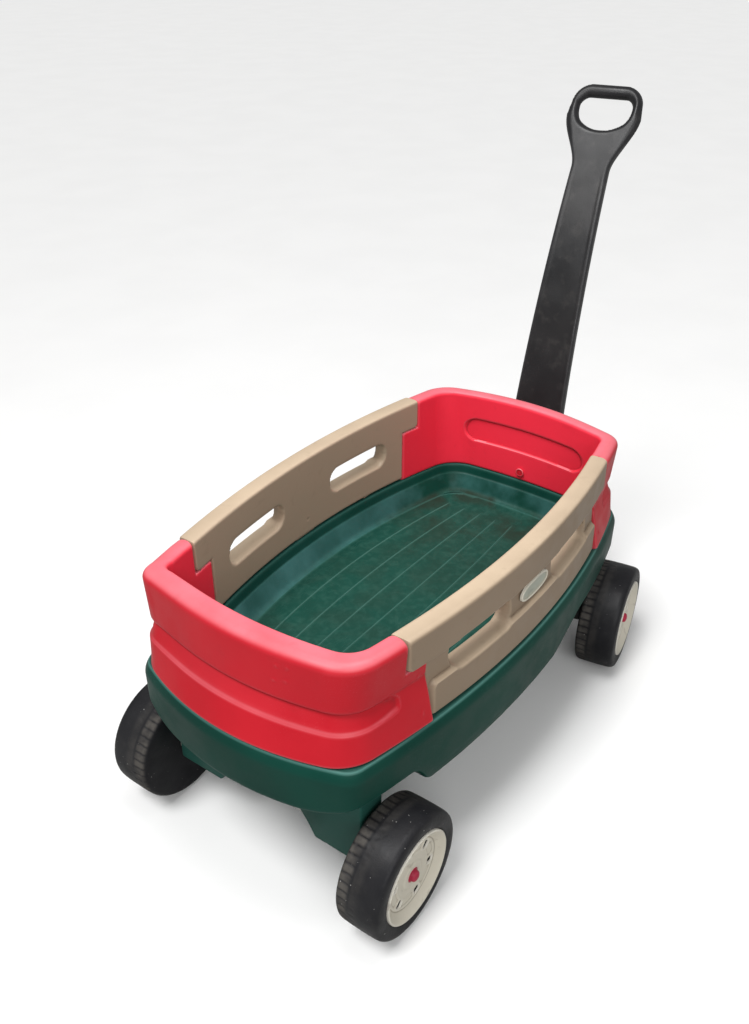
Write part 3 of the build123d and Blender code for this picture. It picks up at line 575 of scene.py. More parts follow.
def green_plastic():
    """Dark green polyethylene of the tub: a pale haze in the basin, part dust and part painted sky
    reflection; dirty on its floor; painted highlights on edges, along the rim and beside the plank
    grooves.
    """
    s = Shader("green_tub_plastic")
    deep, colour, pale = (0.002, 0.034, 0.024), (0.004, 0.052, 0.037), (0.060, 0.19, 0.16)
    body = s.two_tone(5.0, deep, colour)
    basin = s.mask("basin")
    floor = s.mask("floor")
    dusty = s.span(s.noise(11.0, 5.0), 0.25, 0.75, 0.35, 1.0)
    body = s.cover(body, (0.010, 0.062, 0.046), floor, 0.75)
    fine = s.span(s.noise(70.0, 6.0, distortion=0.5), 0.35, 0.8, 0.0, 0.45)
    body = s.cover(body, (0.035, 0.110, 0.085), floor, fine)
    x = s.axis(s.coord, "X")
    dirty_end = s.span(x, ORIGIN[0] + 0.12, ORIGIN[0] + 0.36)
    # Pale blue-grey haze on the basin: patchy dust, and a painted sky reflection on its sloping band.
    dust_and_sky_sheen = s.math("MULTIPLY", basin, s.math("SUBTRACT", dusty, s.math("MULTIPLY", dirty_end, 0.55)))
    body = s.mix(dust_and_sky_sheen, body, (0.060, 0.185, 0.180))
    dirt = s.math("MULTIPLY", floor, s.span(s.noise(15.0, 8.0, distortion=0.6), 0.34, 0.70))
    dirt = s.math("MULTIPLY", dirt, s.math("ADD", s.math("MULTIPLY", dirty_end, 0.75), 0.30))
    body = s.mix(dirt, body, (0.018, 0.034, 0.023))
    crumbs = s.math("MULTIPLY", floor, s.span(s.noise(190.0, 2.0), 0.70, 0.76))
    body = s.cover(body, (0.020, 0.018, 0.010), crumbs, dirty_end)
    # Painted highlight along one side of each plank groove.
    body = s.cover(body, (0.085, 0.20, 0.165), s.mask("groove"), 0.65)
    # Painted highlight: convex edges paler.
    edge = s.span(s.geometry.outputs["Pointiness"], 0.503, 0.55, 0.0, 0.35)
    body = s.mix(edge, body, pale)
    # Painted highlight: a light line along the tub's rim shoulder.
    body = s.cover(body, (0.10, 0.25, 0.22), s.mask("line"), 0.8)
    along = s.scratches(55.0, (1, 18, 18), (0.0, 0.0, 0.04), 0.63, 0.73)
    around = s.scratches(70.0, (15, 1, 15), (0.4, 0.7, -0.5), 0.67, 0.75)
    streaks = s.math("MAXIMUM", along, around)
    body = s.cover(body, pale, streaks, 0.16)
    roughness = s.math(
        "ADD",
        s.mottle(20.0, 0.33, 0.45),
        s.math("ADD", s.math("MULTIPLY", dirt, 0.35), s.math("MULTIPLY", floor, 0.10)),
    )
    normal = s.relief((600.0, 2.0, 0.0001, 0.3), (22.0, 1.0, 0.0012, 0.4), (streaks, 0.0003, 0.6))
    return s.finish(body, roughness, normal, Specular_IOR_Level=0.12)


def tyre_plastic():
    """Black moulded tyre: brown-grey dust on the tread bars, with the gaps between bars left dark as
    painted shade, and fine scuffs on the shoulder.
    """
    s = Shader("dusty_black_tyre")
    body = s.two_tone(12.0, (0.010, 0.010, 0.012), (0.020, 0.020, 0.022))
    dust = s.math("MULTIPLY", s.mask("dust"), s.span(s.noise(45.0, 6.0), 0.3, 0.68, 0.25, 1.0))
    body = s.cover(body, (0.120, 0.110, 0.098), dust, 0.75)
    film = s.span(s.noise(28.0, 6.0, distortion=0.4), 0.5, 0.8, 0.0, 0.25)
    body = s.cover(body, (0.050, 0.047, 0.045), film, s.mask("tread"))
    specks = s.span(s.noise(230.0, 1.0), 0.785, 0.80)
    body = s.cover(body, (0.55, 0.54, 0.52), specks, 0.8)
    streaks = s.scratches(80.0, (1, 9, 9), (0.4, 0.3, 0.9), 0.64, 0.74)
    body = s.cover(body, (0.10, 0.10, 0.11), streaks, 0.35)
    worn = s.mottle(30.0, 0.36, 0.48)
    roughness = s.math("ADD", worn, s.math("MULTIPLY", dust, 0.35))
    normal = s.relief((520.0, 3.0, 0.0004, 0.5), (60.0, 3.0, 0.0009, 0.5))
    return s.finish(body, roughness, normal, Specular_IOR_Level=0.16)


def black_plastic(name, tone=0.009, rough=0.36):
    """Satin black moulding with fine scuffs and painted highlights on its edges."""
    s = Shader(name)
    deep, colour = (tone, tone, tone * 1.12), (tone * 1.9, tone * 1.8, tone * 1.85)
    body = s.two_tone(6.0, deep, colour)
    streaks = s.math(
        "MAXIMUM",
        s.scratches(60.0, (14, 14, 1), (0.1, 0.35, 0.0), 0.63, 0.73),
        s.scratches(80.0, (1, 15, 15), (0.5, 0.2, 0.7), 0.67, 0.75),
    )
    body = s.cover(body, (0.10, 0.10, 0.105), streaks, 0.30)
    dust = s.span(s.noise(40.0, 6.0), 0.52, 0.75, 0.0, 0.25)
    body = s.mix(dust, body, (0.065, 0.060, 0.056))
    # Painted highlight: convex edges lighter.
    edge = s.span(s.geometry.outputs["Pointiness"], 0.505, 0.56, 0.0, 0.25)
    body = s.mix(edge, body, (0.09, 0.09, 0.095))
    worn = s.mottle(18.0, rough - 0.05, rough + 0.08)
    roughness = s.math("ADD", worn, s.math("MULTIPLY", streaks, 0.15))
    normal = s.relief((560.0, 2.0, 0.0003, 0.4), (22.0, 2.0, 0.0012, 0.5))
    return s.finish(body, roughness, normal, Specular_IOR_Level=0.3)


def metal(name, colour, rough):
    """Plated metal with a drawn grain and a little tarnish."""
    s = Shader(name)
    grain = s.noise(240.0, 2.0, (14, 1, 14))
    tarnish = s.span(s.noise(60.0, 6.0), 0.5, 0.75, 0.0, 0.6)
    dull = tuple(c * 0.35 for c in colour)
    body = s.mix(tarnish, s.mix(s.span(grain, 0.3, 0.7, 0.0, 0.25), colour, dull), dull)
    drawn = s.span(grain, 0.3, 0.7, rough, rough + 0.15)
    roughness = s.math("ADD", drawn, s.math("MULTIPLY", tarnish, 0.3))
    return s.finish(body, roughness, s.bump(grain, 0.0001, 0.4), Metallic=1.0)


GREEN = green_plastic()
TYRE = tyre_plastic()
BLACK = black_plastic("black_handle_plastic")
BOLSTER = black_plastic("black_bolster_plastic", 0.011, 0.48)
STEEL = metal("zinc_plated_steel", (0.58, 0.58, 0.57), 0.3)
BRASS = metal("brass", (0.62, 0.45, 0.18), 0.3)


# ---- red end panels ----
PANEL_STEP = 2.8
TONGUE_CORNER = 5.0
RACETRACK = (108, 435, 27)  # half length to the arcs' centres, height, radius
CROWN_GAPS = (0, 0.12, 0.45, 1.0, 1.8, 2.8, 4.2, 6.0, 8.2, 10.6, 13.0)


def mark(a, z, centre, width, height, lift):
    """Small raised or sunk moulding mark."""
    return lift * np.exp(-(((a - centre[0]) / width) ** 2) - ((z - centre[1]) / height) ** 2)


def end_top(shape, length, curve, corners, s):
    """Top outline of one end wall: its own length and bow, and a radius for each of its corners."""
    corner = np.where(s > 0, *corners)
    side = shape[3] * ((length - corner) / (shape[0] - shape[4])) ** 2
    return length, shape[1], curve * (shape[1] - corner) ** 2, side, corner


def end_panel(facing, name, node):
    """U-shaped end wall with tongues, a recessed band outside and a racetrack recess inside."""
    tongue_s = SIDE_PATH + JOIN_X - TONGUE_X
    rail_s = SIDE_PATH + JOIN_X - RAIL_X
    us = lines(-tongue_s, tongue_s, PANEL_STEP, (-tongue_s, -rail_s, rail_s, tongue_s))
    crown_lines = [WALL_Z - gap for gap in CROWN_GAPS]
    vs = lines(LEDGE_Z, WALL_Z, PANEL_STEP, (LEDGE_Z, NOTCH_Z), also=(*crown_lines, 427, 431))
    corner_s = END_PATH + CORNER_PATH / 2
    if facing > 0:
        tops = ((464, 1.1e-3, (74, 56)), (431, 1.1e-3, (48, 34)))
        sprung = 5.0
    else:
        tops = ((453, 7.0e-4, (74, 46)), (413, 7.0e-4, (46, 26)))
        sprung = 9.0

    def region(s, z):
        tongue = rounded(tongue_s - np.abs(s), NOTCH_Z - z, TONGUE_CORNER)
        return np.maximum(tongue, rail_s - np.abs(s))

    def edges(s, z):
        return roll(region(s, z), 4.0, 3.4) + roll(z - LEDGE_Z, 6.0, 4.6)

    def place(bottom, top, choice, z, distance, s):
        points = wall(bottom, end_top(top, *choice, s), z, distance, s)
        push = sprung * np.exp(-(((s + corner_s) / 55.0) ** 2)) * ramp(z, 346, 420)
        return points + push[:, None] * np.array([0.59, -0.81, 0])

    def outer(s, z):
        side_x = JOIN_X - (np.abs(s) - SIDE_PATH)
        base = np.interp(z, (343.5, 348, 396, 431, 434, 512), (3, 0, 6, 12, 10.6, 0))
        inside = 17.5 - np.hypot(np.maximum(357.5 - side_x, 0), z - 413.5)
        band = ramp(inside, 0, 3.6) * np.interp(z, (396, 404, 426, 431), (2.4, 4.0, 6.6, 7))
        x_mark = mark(side_x, z, (301, 437), 1.6, 4.0, 1.4) + mark(side_x, z, (303, 371), 1.6, 4.0, 1.4)
        distance = base + band + edges(s, z) + roll(WALL_Z - z, 15.0, 16.0, 2.0) - x_mark
        if facing < 0:
            for centre in ((-95, 493), (-78, 490), (-92, 468), (-74, 463)):
                distance = distance - mark(-s, z, centre, 2.2, 2.6, 1.5)
        return place(WALL_BOTTOM, WALL_TOP, tops[0], z, distance, s)

    def inner(s, z):
        flat = wall(WALL_INNER_BOTTOM, WALL_INNER_TOP, z, 0 * z, s)
        reach, middle, radius = RACETRACK
        inside = radius - np.hypot(np.maximum(np.abs(flat[:, 1]) - reach, 0), z - middle)
        recess = 4.2 * ramp(inside, -0.5, 3.2)
        distance = -edges(s, z) - roll(WALL_Z - z, 8.0, 9.0, 2.0) - recess
        return place(WALL_INNER_BOTTOM, WALL_INNER_TOP, tops[1], z, distance, s)

    points, faces = shell(us, vs, region, outer, inner)
    points[:, :2] *= facing
    # Inner sheet gets the lighter inside colour, painted light.
    masks = {"inside": np.arange(len(points)) >= len(points) // 2}
    piece(name, (points, faces), RED, "wagon_body", (node,), masks)


end_panel(1, "front_wall", "front_end_panel")
end_panel(-1, "rear_wall", "rear_end_panel")


# ---- tan side panels ----
SIDE_FOOT_Z = 349.0
SIDE_BODY_X = 282.0
SIDE_RAIL_X = 325.0
SIDE_NOTCH_Z = 457.0
SLOT_MIDDLE = (150.5, 431.5)
SLOT_HALF = (80.0, 27.5)
SLOT_CORNER = 23.0


def side_panel(side, name, node):
    """Lift-out side wall: thick rail, recessed band with two flared hand slots, and tabs."""
    edges_x = (-SIDE_RAIL_X, -SIDE_BODY_X, SIDE_BODY_X, SIDE_RAIL_X)
    us = lines(-SIDE_RAIL_X, SIDE_RAIL_X, 2.4, edges_x)
    crown_lines = [WALL_Z - gap for gap in CROWN_GAPS[:8]]
    vs = lines(SIDE_FOOT_Z, WALL_Z, 2.4, (SIDE_FOOT_Z, SIDE_NOTCH_Z), also=crown_lines)

    def solid(x, z):
        body = rounded(SIDE_BODY_X - np.abs(x), z - SIDE_FOOT_Z, 5.0)
        ends = rounded(SIDE_RAIL_X - np.abs(x), z - SIDE_NOTCH_Z, 9.0)
        return np.maximum(body, ends)

    def slot(x, z):
        along = SLOT_HALF[0] - np.abs(np.abs(x) - SLOT_MIDDLE[0])
        return -rounded(along, SLOT_HALF[1] - np.abs(z - SLOT_MIDDLE[1]), SLOT_CORNER)

    def region(x, z):
        return np.minimum(solid(x, z), slot(x, z))

    def path(x):
        return side * (SIDE_PATH + JOIN_X - x)

    def outer(x, z):
        rail = np.interp(z, (458, 512), (3, 0))
        recess = 13.0 - 0.6 * ramp(z, 440, 454)
        lower = np.interp(z, (349, 409), (7, 4))
        band = ramp(rounded(279.0 - np.abs(x), 412.0 - z, 13.0), 0, 5.0)
        base = recess + band * (lower - recess)
        base = base + ramp(z, 454.5, 458.5) * (rail - base)
        shape = base + roll(solid(x, z), 4.0, 3.2) + roll(slot(x, z), 3.0, 2.2)
        shape = shape + roll(WALL_Z - z, 8.0, 9.0, 2.4)
        return wall(WALL_BOTTOM, WALL_TOP, z, shape, path(x))

    def inner(x, z):
        dimple = mark(x, z, (2, 381), 3.2, 3.2, 2.2) - mark(x, z, (2, 381), 6.5, 6.5, 0.8)
        shape = roll(solid(x, z), 4.0, 3.2) + roll(slot(x, z), 4.0, 3.0, 2.2) + dimple
        shape = shape + roll(WALL_Z - z, 6.0, 7.0, 2.4)
        tight = 3.0 * ramp(slot(x, z), 12, 0) * np.sign(z - SLOT_MIDDLE[1]) * (z > SLOT_MIDDLE[1])
        return wall(WALL_INNER_BOTTOM, WALL_INNER_TOP, z - tight, -shape, path(x))

    parts = [shell(us, vs, region, outer, inner)]
    for x, y in ((-205, 231), (0, 243), (205, 231)):
        low = (x - 27.5, side * y - 6, LEDGE_Z - 19)
        parts.append(smooth_box(low, (x + 27.5, side * y + 6, SIDE_FOOT_Z + 3), 1.5))
    body = f"{'left' if side > 0 else 'right'}_side"
    whole = joined(*parts)
    half, count = len(parts[0][0]) // 2, len(parts[0][0])
    index = np.arange(len(whole[0]))
    # Inner sheet gets the lighter inside colour, painted light.
    masks = {"inside": (index >= half) & (index < count)}
    piece(name, whole, TAN, body, (node,), masks)


side_panel(1, "left_wall", "left_side_panel")
side_panel(-1, "right_wall", "right_side_panel")


def badge(side, name, node):
    """Blank oval plate with a raised rim."""
    low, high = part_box(node)
    middle = node_middle(node)
    half = (np.array(high) - np.array(low)) / 2 / MM
    angle = circle(96)
    across, along = (np.sign(f) * np.abs(f) ** 0.82 for f in (np.cos(angle), np.sin(angle)))
    levels = ((0, -3), (0, 0.4), (0.5, 1.2), (1.4, 1.7), (2.8, 1.7), (3.6, 1.2), (4.1, 0.3), (4.8, 0))
    levels += ((9, 0.1), (16, 0.2))
    face = half[1] - 1.8
    rings = []
    for drawn_in, lift in levels:
        x = middle[0] + (half[0] - drawn_in) * across
        z = middle[2] + (half[2] - drawn_in) * along
        rings.append(xyz(x, middle[1] + side * (face + lift), z))
    body = f"{'left' if side > 0 else 'right'}_side"
    masks = {"inside": np.repeat(np.arange(len(levels)) >= len(levels) - 2, len(angle))}
    piece(name, tube(rings), BADGE, body, (node,), masks)


badge(1, "left_oval", "left_badge")
badge(-1, "right_oval", "right_badge")


# ---- green tub ----
HALF_LOOP = SIDE_PATH + JOIN_X
STATIONS = lines(-HALF_LOOP, HALF_LOOP, 4.6)[:-1]
UNDER_X = (-520, -460, -442, -320, -290, -200, 20, 85, 125, 190, 520)
UNDER_Z = (248, 248, 268, 268, 222, 219, 219, 224, 246, 264, 260)
TUB_CURL = ((214, 219, 225, 234, 250, 318), (34, 15, 7, 3, 1, 0))
TUCK = 9.0
BASIN_FLOOR = 287
LEG_HALF = 28


def loop(shape):
    """Whole barrel outline, anticlockwise."""
    half = len(STATIONS)
    front = [value[:half] if np.ndim(value) else value for value in shape]
    rear = [value[half:] if np.ndim(value) else value for value in shape]
    x, y = barrel(front, STATIONS)
    back_x, back_y = barrel(rear, STATIONS)
    return np.concatenate([x, -back_x]), np.concatenate([y, -back_y])


def under(x):
    """Height of the tub's underside, softened along the wagon."""
    return sum(np.interp(x + shift, UNDER_X, UNDER_Z) for shift in (-10, -5, 0, 5, 10)) / 5


def level(shape, z):
    x, y = loop(shape)
    return xyz(x, y, z)


def prism(profile, low, high, radius):
    """A y-z outline carried from one x to another, with rounded edges."""
    bm = bmesh.new()
    face = bm.faces.new([bm.verts.new((low, y, z)) for y, z in profile])
    grown = bmesh.ops.extrude_face_region(bm, geom=[face])
    for item in grown["geom"]:
        if isinstance(item, bmesh.types.BMVert):
            item.co.x = high
    bmesh.ops.bevel(bm, geom=bm.edges[:], offset=radius, segments=4, profile=0.5, affect="EDGES")
    bm.verts.index_update()
    points = np.array([v.co[:] for v in bm.verts])
    faces = [[v.index for v in f.verts] for f in bm.faces]
    bm.free()
    return points, faces


def tub():
    """Double-walled tub from the middle of its floor out over the ledge and round underneath."""
    basin = (
        (36, BASIN_FLOOR), (35, 291.6), (32.5, 291.9), (29.5, 292.5), (27, 294), (25, 296.6),
        (23, 300.2), (19.5, 306.5), (15.5, 313.5), (11.5, 320.5), (9.8, 323.4), (8.9, 324.6), (8.0, 325.0),
        (7.0, 325.6), (6.3, 327), (5.2, 331), (4.0, 335.5), (2.9, 339), (1.7, 341.6), (0.2, 343),
        (-2, 343.5),
    )
    x, y = loop(inset(BASIN, 36))
    rings = [xyz(x * k, y * k, BASIN_FLOOR) for k in (0.02, 0.4, 0.8)]
    rings += [level(inset(BASIN, d), z) for d, z in basin]
    basin_rows = len(rings)
    shoulder = ((10.5, 343.5), (9.2, 343.2), (7.8, 342.2), (5.4, 338.6), (3.2, 334.2), (1.6, 330.2))
    shoulder += ((0.8, 327.6), (0.2, 324.8), (0, 321))
    rings += [level(inset(RIM, d), z) for d, z in shoulder]
    edge_x, _ = loop(inset(RIM, 6))
    edge = under(edge_x) + TUCK
    for t in np.linspace(0.06, 1, 16):
        z = 321 + (edge - 321) * t
        rings.append(level(inset(RIM, np.interp(z, *TUB_CURL)), z))
    tuck = np.interp(edge, *TUB_CURL)
    for t in np.linspace(0.2, 1, 6) * np.pi / 2:
        rings.append(level(inset(RIM, tuck + TUCK * (1 - math.cos(t))), edge - TUCK * math.sin(t)))
    last = rings[-1]
    for k in (0.985, 0.96, 0.92, 0.86, 0.78, 0.68, 0.56, 0.42, 0.28, 0.14, 0.02):
        x, y = last[:, 0] * k, last[:, 1] * k
        rings.append(xyz(x, y, under(x)))
    body = tube(rings)
    count = len(rings[0])
    row = np.repeat(np.arange(len(rings)), count)
    heights = body[0][:, 2]
    basin_mask = (row < basin_rows) * np.interp(heights, (324, 326), (1, 0.12))
    masks = {"basin": basin_mask, "floor": np.clip(basin_mask, 0, 1) * ramp(297 - heights, -3, 5)}
    # Painted highlight line along the rim's shoulder, just below the ledge.
    masks["line"] = (row >= basin_rows) * np.exp(-(((heights - 341.8) / 1.3) ** 2))
    legs = []
    axle_x = node_middle("rear_axle")[0]
    for side in (-1, 1):
        outline = ((200, 99.5), (104, 99.5), (88, 127), (60, 165), (34, 236), (34, 276), (200, 276))
        profile = [(side * a, b) for a, b in outline]
        legs.append(prism(profile, axle_x - LEG_HALF, axle_x + LEG_HALF, 4.5))
    pin_x = node_middle("kingpin")[0]
    a = circle(72)
    boss = []
    for radius, z in ((13, 275), (13, 251.4), (14, 251), (58, 251), (60, 252.5), (61, 275)):
        boss.append(xyz(pin_x + radius * np.cos(a), radius * np.sin(a), z))
    whole = joined(body, *legs, tube(boss))
    rest = len(whole[0]) - len(body[0])
    masks = {key: np.concatenate([value, np.zeros(rest)]) for key, value in masks.items()}
    piece("tub_shell", whole, GREEN, "wagon_body", ("tub",), masks)


FLOOR_HALF = 199.0
PLANKS = 8


def bed_floor():
    """Floor of the basin: planks with fine grooves that follow the bowed sides."""
    seams = [FLOOR_HALF * (2 * k / PLANKS - 1) for k in range(1, PLANKS)]
    us = lines(-400, 400, 7.0)
    vs = lines(-FLOOR_HALF, FLOOR_HALF, 5.0, seams, near=(0, 0.5, 1.0, 1.6, 2.4))

    def half_width(x):
        return FLOOR_HALF - 51 * (x / 360.5) ** 2

    def region(x, v):
        w = half_width(x)
        y = v * w / FLOOR_HALF
        return rounded(399.5 - 12 * (y / 160) ** 2 - np.abs(x), w - np.abs(y), 42.0)

    def groove(x, v):
        gap = np.min([np.abs(v - seam) for seam in seams], axis=0) * half_width(x) / FLOOR_HALF
        return np.exp(-((gap / 1.0) ** 2)) * (1 - ramp(np.abs(x + 8), 335, 352))

    def upper(x, v):
        crown = 0.5 * np.cos(v * PLANKS * np.pi / FLOOR_HALF + np.pi)
        z = FLOOR_Z - 0.5 + 0.35 * crown - 1.5 * groove(x, v)
        return xyz(x, v * half_width(x) / FLOOR_HALF, z)

    def lower(x, v):
        return xyz(x, v * half_width(x) / FLOOR_HALF, FLOOR_Z - 4.6)

    points, faces = shell(us, vs, region, upper, lower)
    count = len(points) // 2
    x = points[:, 0]
    v = points[:, 1] / half_width(x) * FLOOR_HALF
    nearest = np.array(seams)[np.argmin([np.abs(v - seam) for seam in seams], axis=0)]
    side = (v - nearest) * half_width(x) / FLOOR_HALF
    # Painted highlight: a light strip along one side of each groove.
    lit = np.exp(-(((side - 0.9) / 0.6) ** 2)) * (1 - ramp(np.abs(x + 8), 335, 352))
    masks = {"floor": np.ones(2 * count), "groove": lit, "basin": np.zeros(2 * count)}
    piece("bed_floor", (points, faces), GREEN, "wagon_body", (), masks)


tub()
bed_floor()


def plug(facing, name):
    """Round locking plug in an end wall: a dished head with a rim."""
    z = node_middle("end_panel_plugs")[2]
    profile = ((30, 5.5), (0, 5.6), (0, 8.6), (-1.2, 9.0), (-2.4, 8.4), (-2.7, 7.2), (-2.0, 6.0))
    profile += ((-1.7, 4.0), (-2.2, 2.0), (-2.4, 0.15))
    a = circle(48)
    rings = []
    for depth, radius in profile:
        rings.append(xyz(facing * (428.5 + depth), radius * np.cos(a), z + radius * np.sin(a)))
    return tube(rings)


piece(
    "wall_plugs", joined(plug(1, "front"), plug(-1, "rear")), RED, "wagon_body",
    ("end_panel_plugs",),
)


# ---- wheels ----
WHEEL_MIDDLE = 245.5
INNER_FACE = 206.5
OUTER_FACE = 284.5
TREAD_BARS = 46
DISC_OUT = 4.0
DISC_BORE = 13.2
DISC_RADIUS = 80.4
WINDOWS = 6
WINDOW_RADIUS = 50.0
WINDOW_HALF = (7.0, 6.0)
POCKET_HALF = (9.5, 17.0)


def hub(name, side):
    """Middle of a wheel, with its outward, upward and forward directions."""
    joint = joints[name + "_roll"]
    centre = np.array(joint["pos_m"]) / MM - ORIGIN / MM
    outward, up = side * np.array(joint["axis"]), np.array([0, 0, 1.0])
    return centre, outward, up, np.cross(outward, up)


def tyre_lift(axial, radius, angle):
    """Tread: sunken gaps between bars on the inner third, and a fainter staggered row."""
    a = axial - INNER_FACE
    on_tread = ramp(radius, 104.5, 108.5)
    count = angle * TREAD_BARS / (2 * np.pi)
    uneven = np.sin(np.floor(count) * 12.99)
    gap = 1 - ramp(np.abs(count % 1.0 - 0.5 + 0.04 * uneven), 0.05, 0.15)
    faint = 1 - ramp(np.abs((count + 0.5) % 1.0 - 0.5), 0.08, 0.24)
    first = ramp(a, 8, 11) * (1 - ramp(a, 21 + 2 * uneven, 25 + 2 * uneven))
    second = ramp(a, 29, 31) * (1 - ramp(a, 36, 40))
    return -on_tread * (1.5 * gap * first + 0.4 * faint * second)


def wheel(name, side):
    """Tyre with moulded tread and dished disc with windows of one wheel."""
    centre, outward, up, ahead = hub(name, side)

    def place(axial, radius, angle):
        spoke = np.cos(angle)[:, None] * up + np.sin(angle)[:, None] * ahead
        return centre + (axial - WHEEL_MIDDLE)[:, None] * outward + radius[:, None] * spoke

    i, o = INNER_FACE, OUTER_FACE
    tyre_path = curve_path(
        (
            (i + 7, 15.5, 1), (i + 5, 40, 8), (i + 1.5, 74, 10), (i + 0.3, 90, 8),
            (i + 1.5, 108.5, 12), (i + 16, 110, 14), (i + 56, 110, 12), (o + 0.5, 108.8, 10),
            (o + 4.4, 97, 8), (o + 3.2, 83.5, 2.5), (o + 1, 80.8, 1), (o - 8, 80.5, 1),
            (o - 12, 70, 4), (o - 14, 30, 4), (o - 14, 15.5, 1),
        ),
        7,
    )
    tyre_path = spread(tyre_path, 2.2)
    A, R, T, faces = turned(tyre_path, 368, tyre_lift)
    a = A - i
    phase = (T * TREAD_BARS / (2 * np.pi)) % 1.0
    # Dust on the bars; the gaps keep only a trace, so they stay dark as painted shade.
    bar = ramp(np.abs(phase - 0.5), 0.06, 0.18)
    dust = ramp(R, 103, 107) * ramp(a, 1, 6) * (1 - ramp(a, 20, 27)) * (0.05 + 0.95 * bar)
    dust = dust + 0.25 * ramp(R, 104, 107) * ramp(a, 27, 30) * (1 - ramp(a, 38, 48))
    masks = {"dust": dust, "tread": ramp(R, 100, 107)}
    tyre = (place(A, R, T), faces)
    body = f"{name}_wheel"
    piece(f"{name}_tread", tyre, TYRE, body, (f"{name}_tyre",), masks)

    period = 2 * np.pi * WINDOW_RADIUS
    extra = (60, 61, 62, 63, 64, 65, 66, 76, 77, 78)
    ends = (DISC_BORE, DISC_RADIUS)
    us = lines(*ends, 1.7, ends, near=(0, 0.5, 1.2, 2.0), also=extra)
    vs = np.linspace(0, period, 168, endpoint=False)

    def windows(r, v):
        turn = (v / period * WINDOWS + 0.25) % 1.0 - 0.5
        across = WINDOW_HALF[1] - np.abs(turn) * period / WINDOWS
        return -rounded(WINDOW_HALF[0] - np.abs(r - WINDOW_RADIUS), across, 2.5)

    def front(r, v):
        wide = np.interp(
            r,
            (13, 20, 22, 25, 27, 38, 42, 60, 62.5, 65, 76, 77.5, 79.4, DISC_RADIUS),
            (-9.5, -9.5, -9.3, -10.6, -11, -11, -10.2, -10.2, -11.4, -9.4, 0.2, 1.2, 1.1, -0.4),
        )
        turn = (v / period * WINDOWS + 0.75) % 1.0 - 0.5
        along = POCKET_HALF[1] - np.abs(turn) * period / WINDOWS
        pocket = rounded(POCKET_HALF[0] - np.abs(r - WINDOW_RADIUS), along, 6.0)
        wide = wide - 1.9 * ramp(pocket, 0, 3.0) - roll(windows(r, v), 1.6, 1.2)
        return place(o + DISC_OUT + wide, r, v / WINDOW_RADIUS)

    def behind(r, v):
        radii = (13, 38, 60, 64, 66.5, 78, DISC_RADIUS)
        wide = np.interp(r, radii, (-13.2, -13.2, -13.2, -12.4, -10.8, -4.0, -4.0))
        return place(o + DISC_OUT + wide, r, v / WINDOW_RADIUS)

    dish = shell(us, vs, windows, front, behind, period)
    piece(f"{name}_dish", dish, CREAM, body, (f"{name}_disc",), sharp=60)


for end in ("rear", "front"):
    wheel(f"{end}_left", 1)
    wheel(f"{end}_right", -1)


def axle_cap(name, side):
    """Low domed push-on cap with a grip collar over an axle end."""
    centre, outward, up, ahead = hub(name, side)
    profile = ((-9, 6.2), (-9, 12.2), (-8.6, 12.9), (-6.0, 12.9), (-5.2, 12.3), (-4.6, 10.6))
    profile += ((-3.6, 10.0), (-0.4, 9.4), (1.6, 8.0), (2.8, 5.6), (3.4, 3.0), (3.6, 0.2))
    a = circle(60)
    rings = []
    for axial, radius in profile:
        knurl = 0.35 * np.cos(a * 10) if radius > 12.5 else 0
        spoke = np.cos(a)[:, None] * up + np.sin(a)[:, None] * ahead
        middle = centre + (OUTER_FACE - WHEEL_MIDDLE + axial) * outward
        rings.append(middle + np.reshape(radius + knurl + 0 * a, (-1, 1)) * spoke)
    return tube(rings)


for end, body in (("rear", "wagon_body"), ("front", "steering")):
    caps = joined(axle_cap(f"{end}_left", 1), axle_cap(f"{end}_right", -1))
    piece(f"{end}_hub_caps", caps, CAP, body, (f"{end}_axle_caps",), sharp=60)


# ---- pull handle ----
PIVOT = (140.0, 185.0)
LENGTH = 919.0
LEAN = math.radians(19.2)
BOW = 60.0
HALF_THICK = 12.4
PLAY = 0.011
BOW_RADIUS = ((LENGTH / 2) ** 2 + BOW**2) / (2 * BOW)
FOOT, NECK, GRIP, TOP = -20, 772, 878, 941  # places along the handle from its pivot
NECK_HALF = 38.5
GRIP_HALF = 77.0
HOLE_TOP = 915
CUP = (920, 70)  # middle and radius of the grip hole's round lower edge


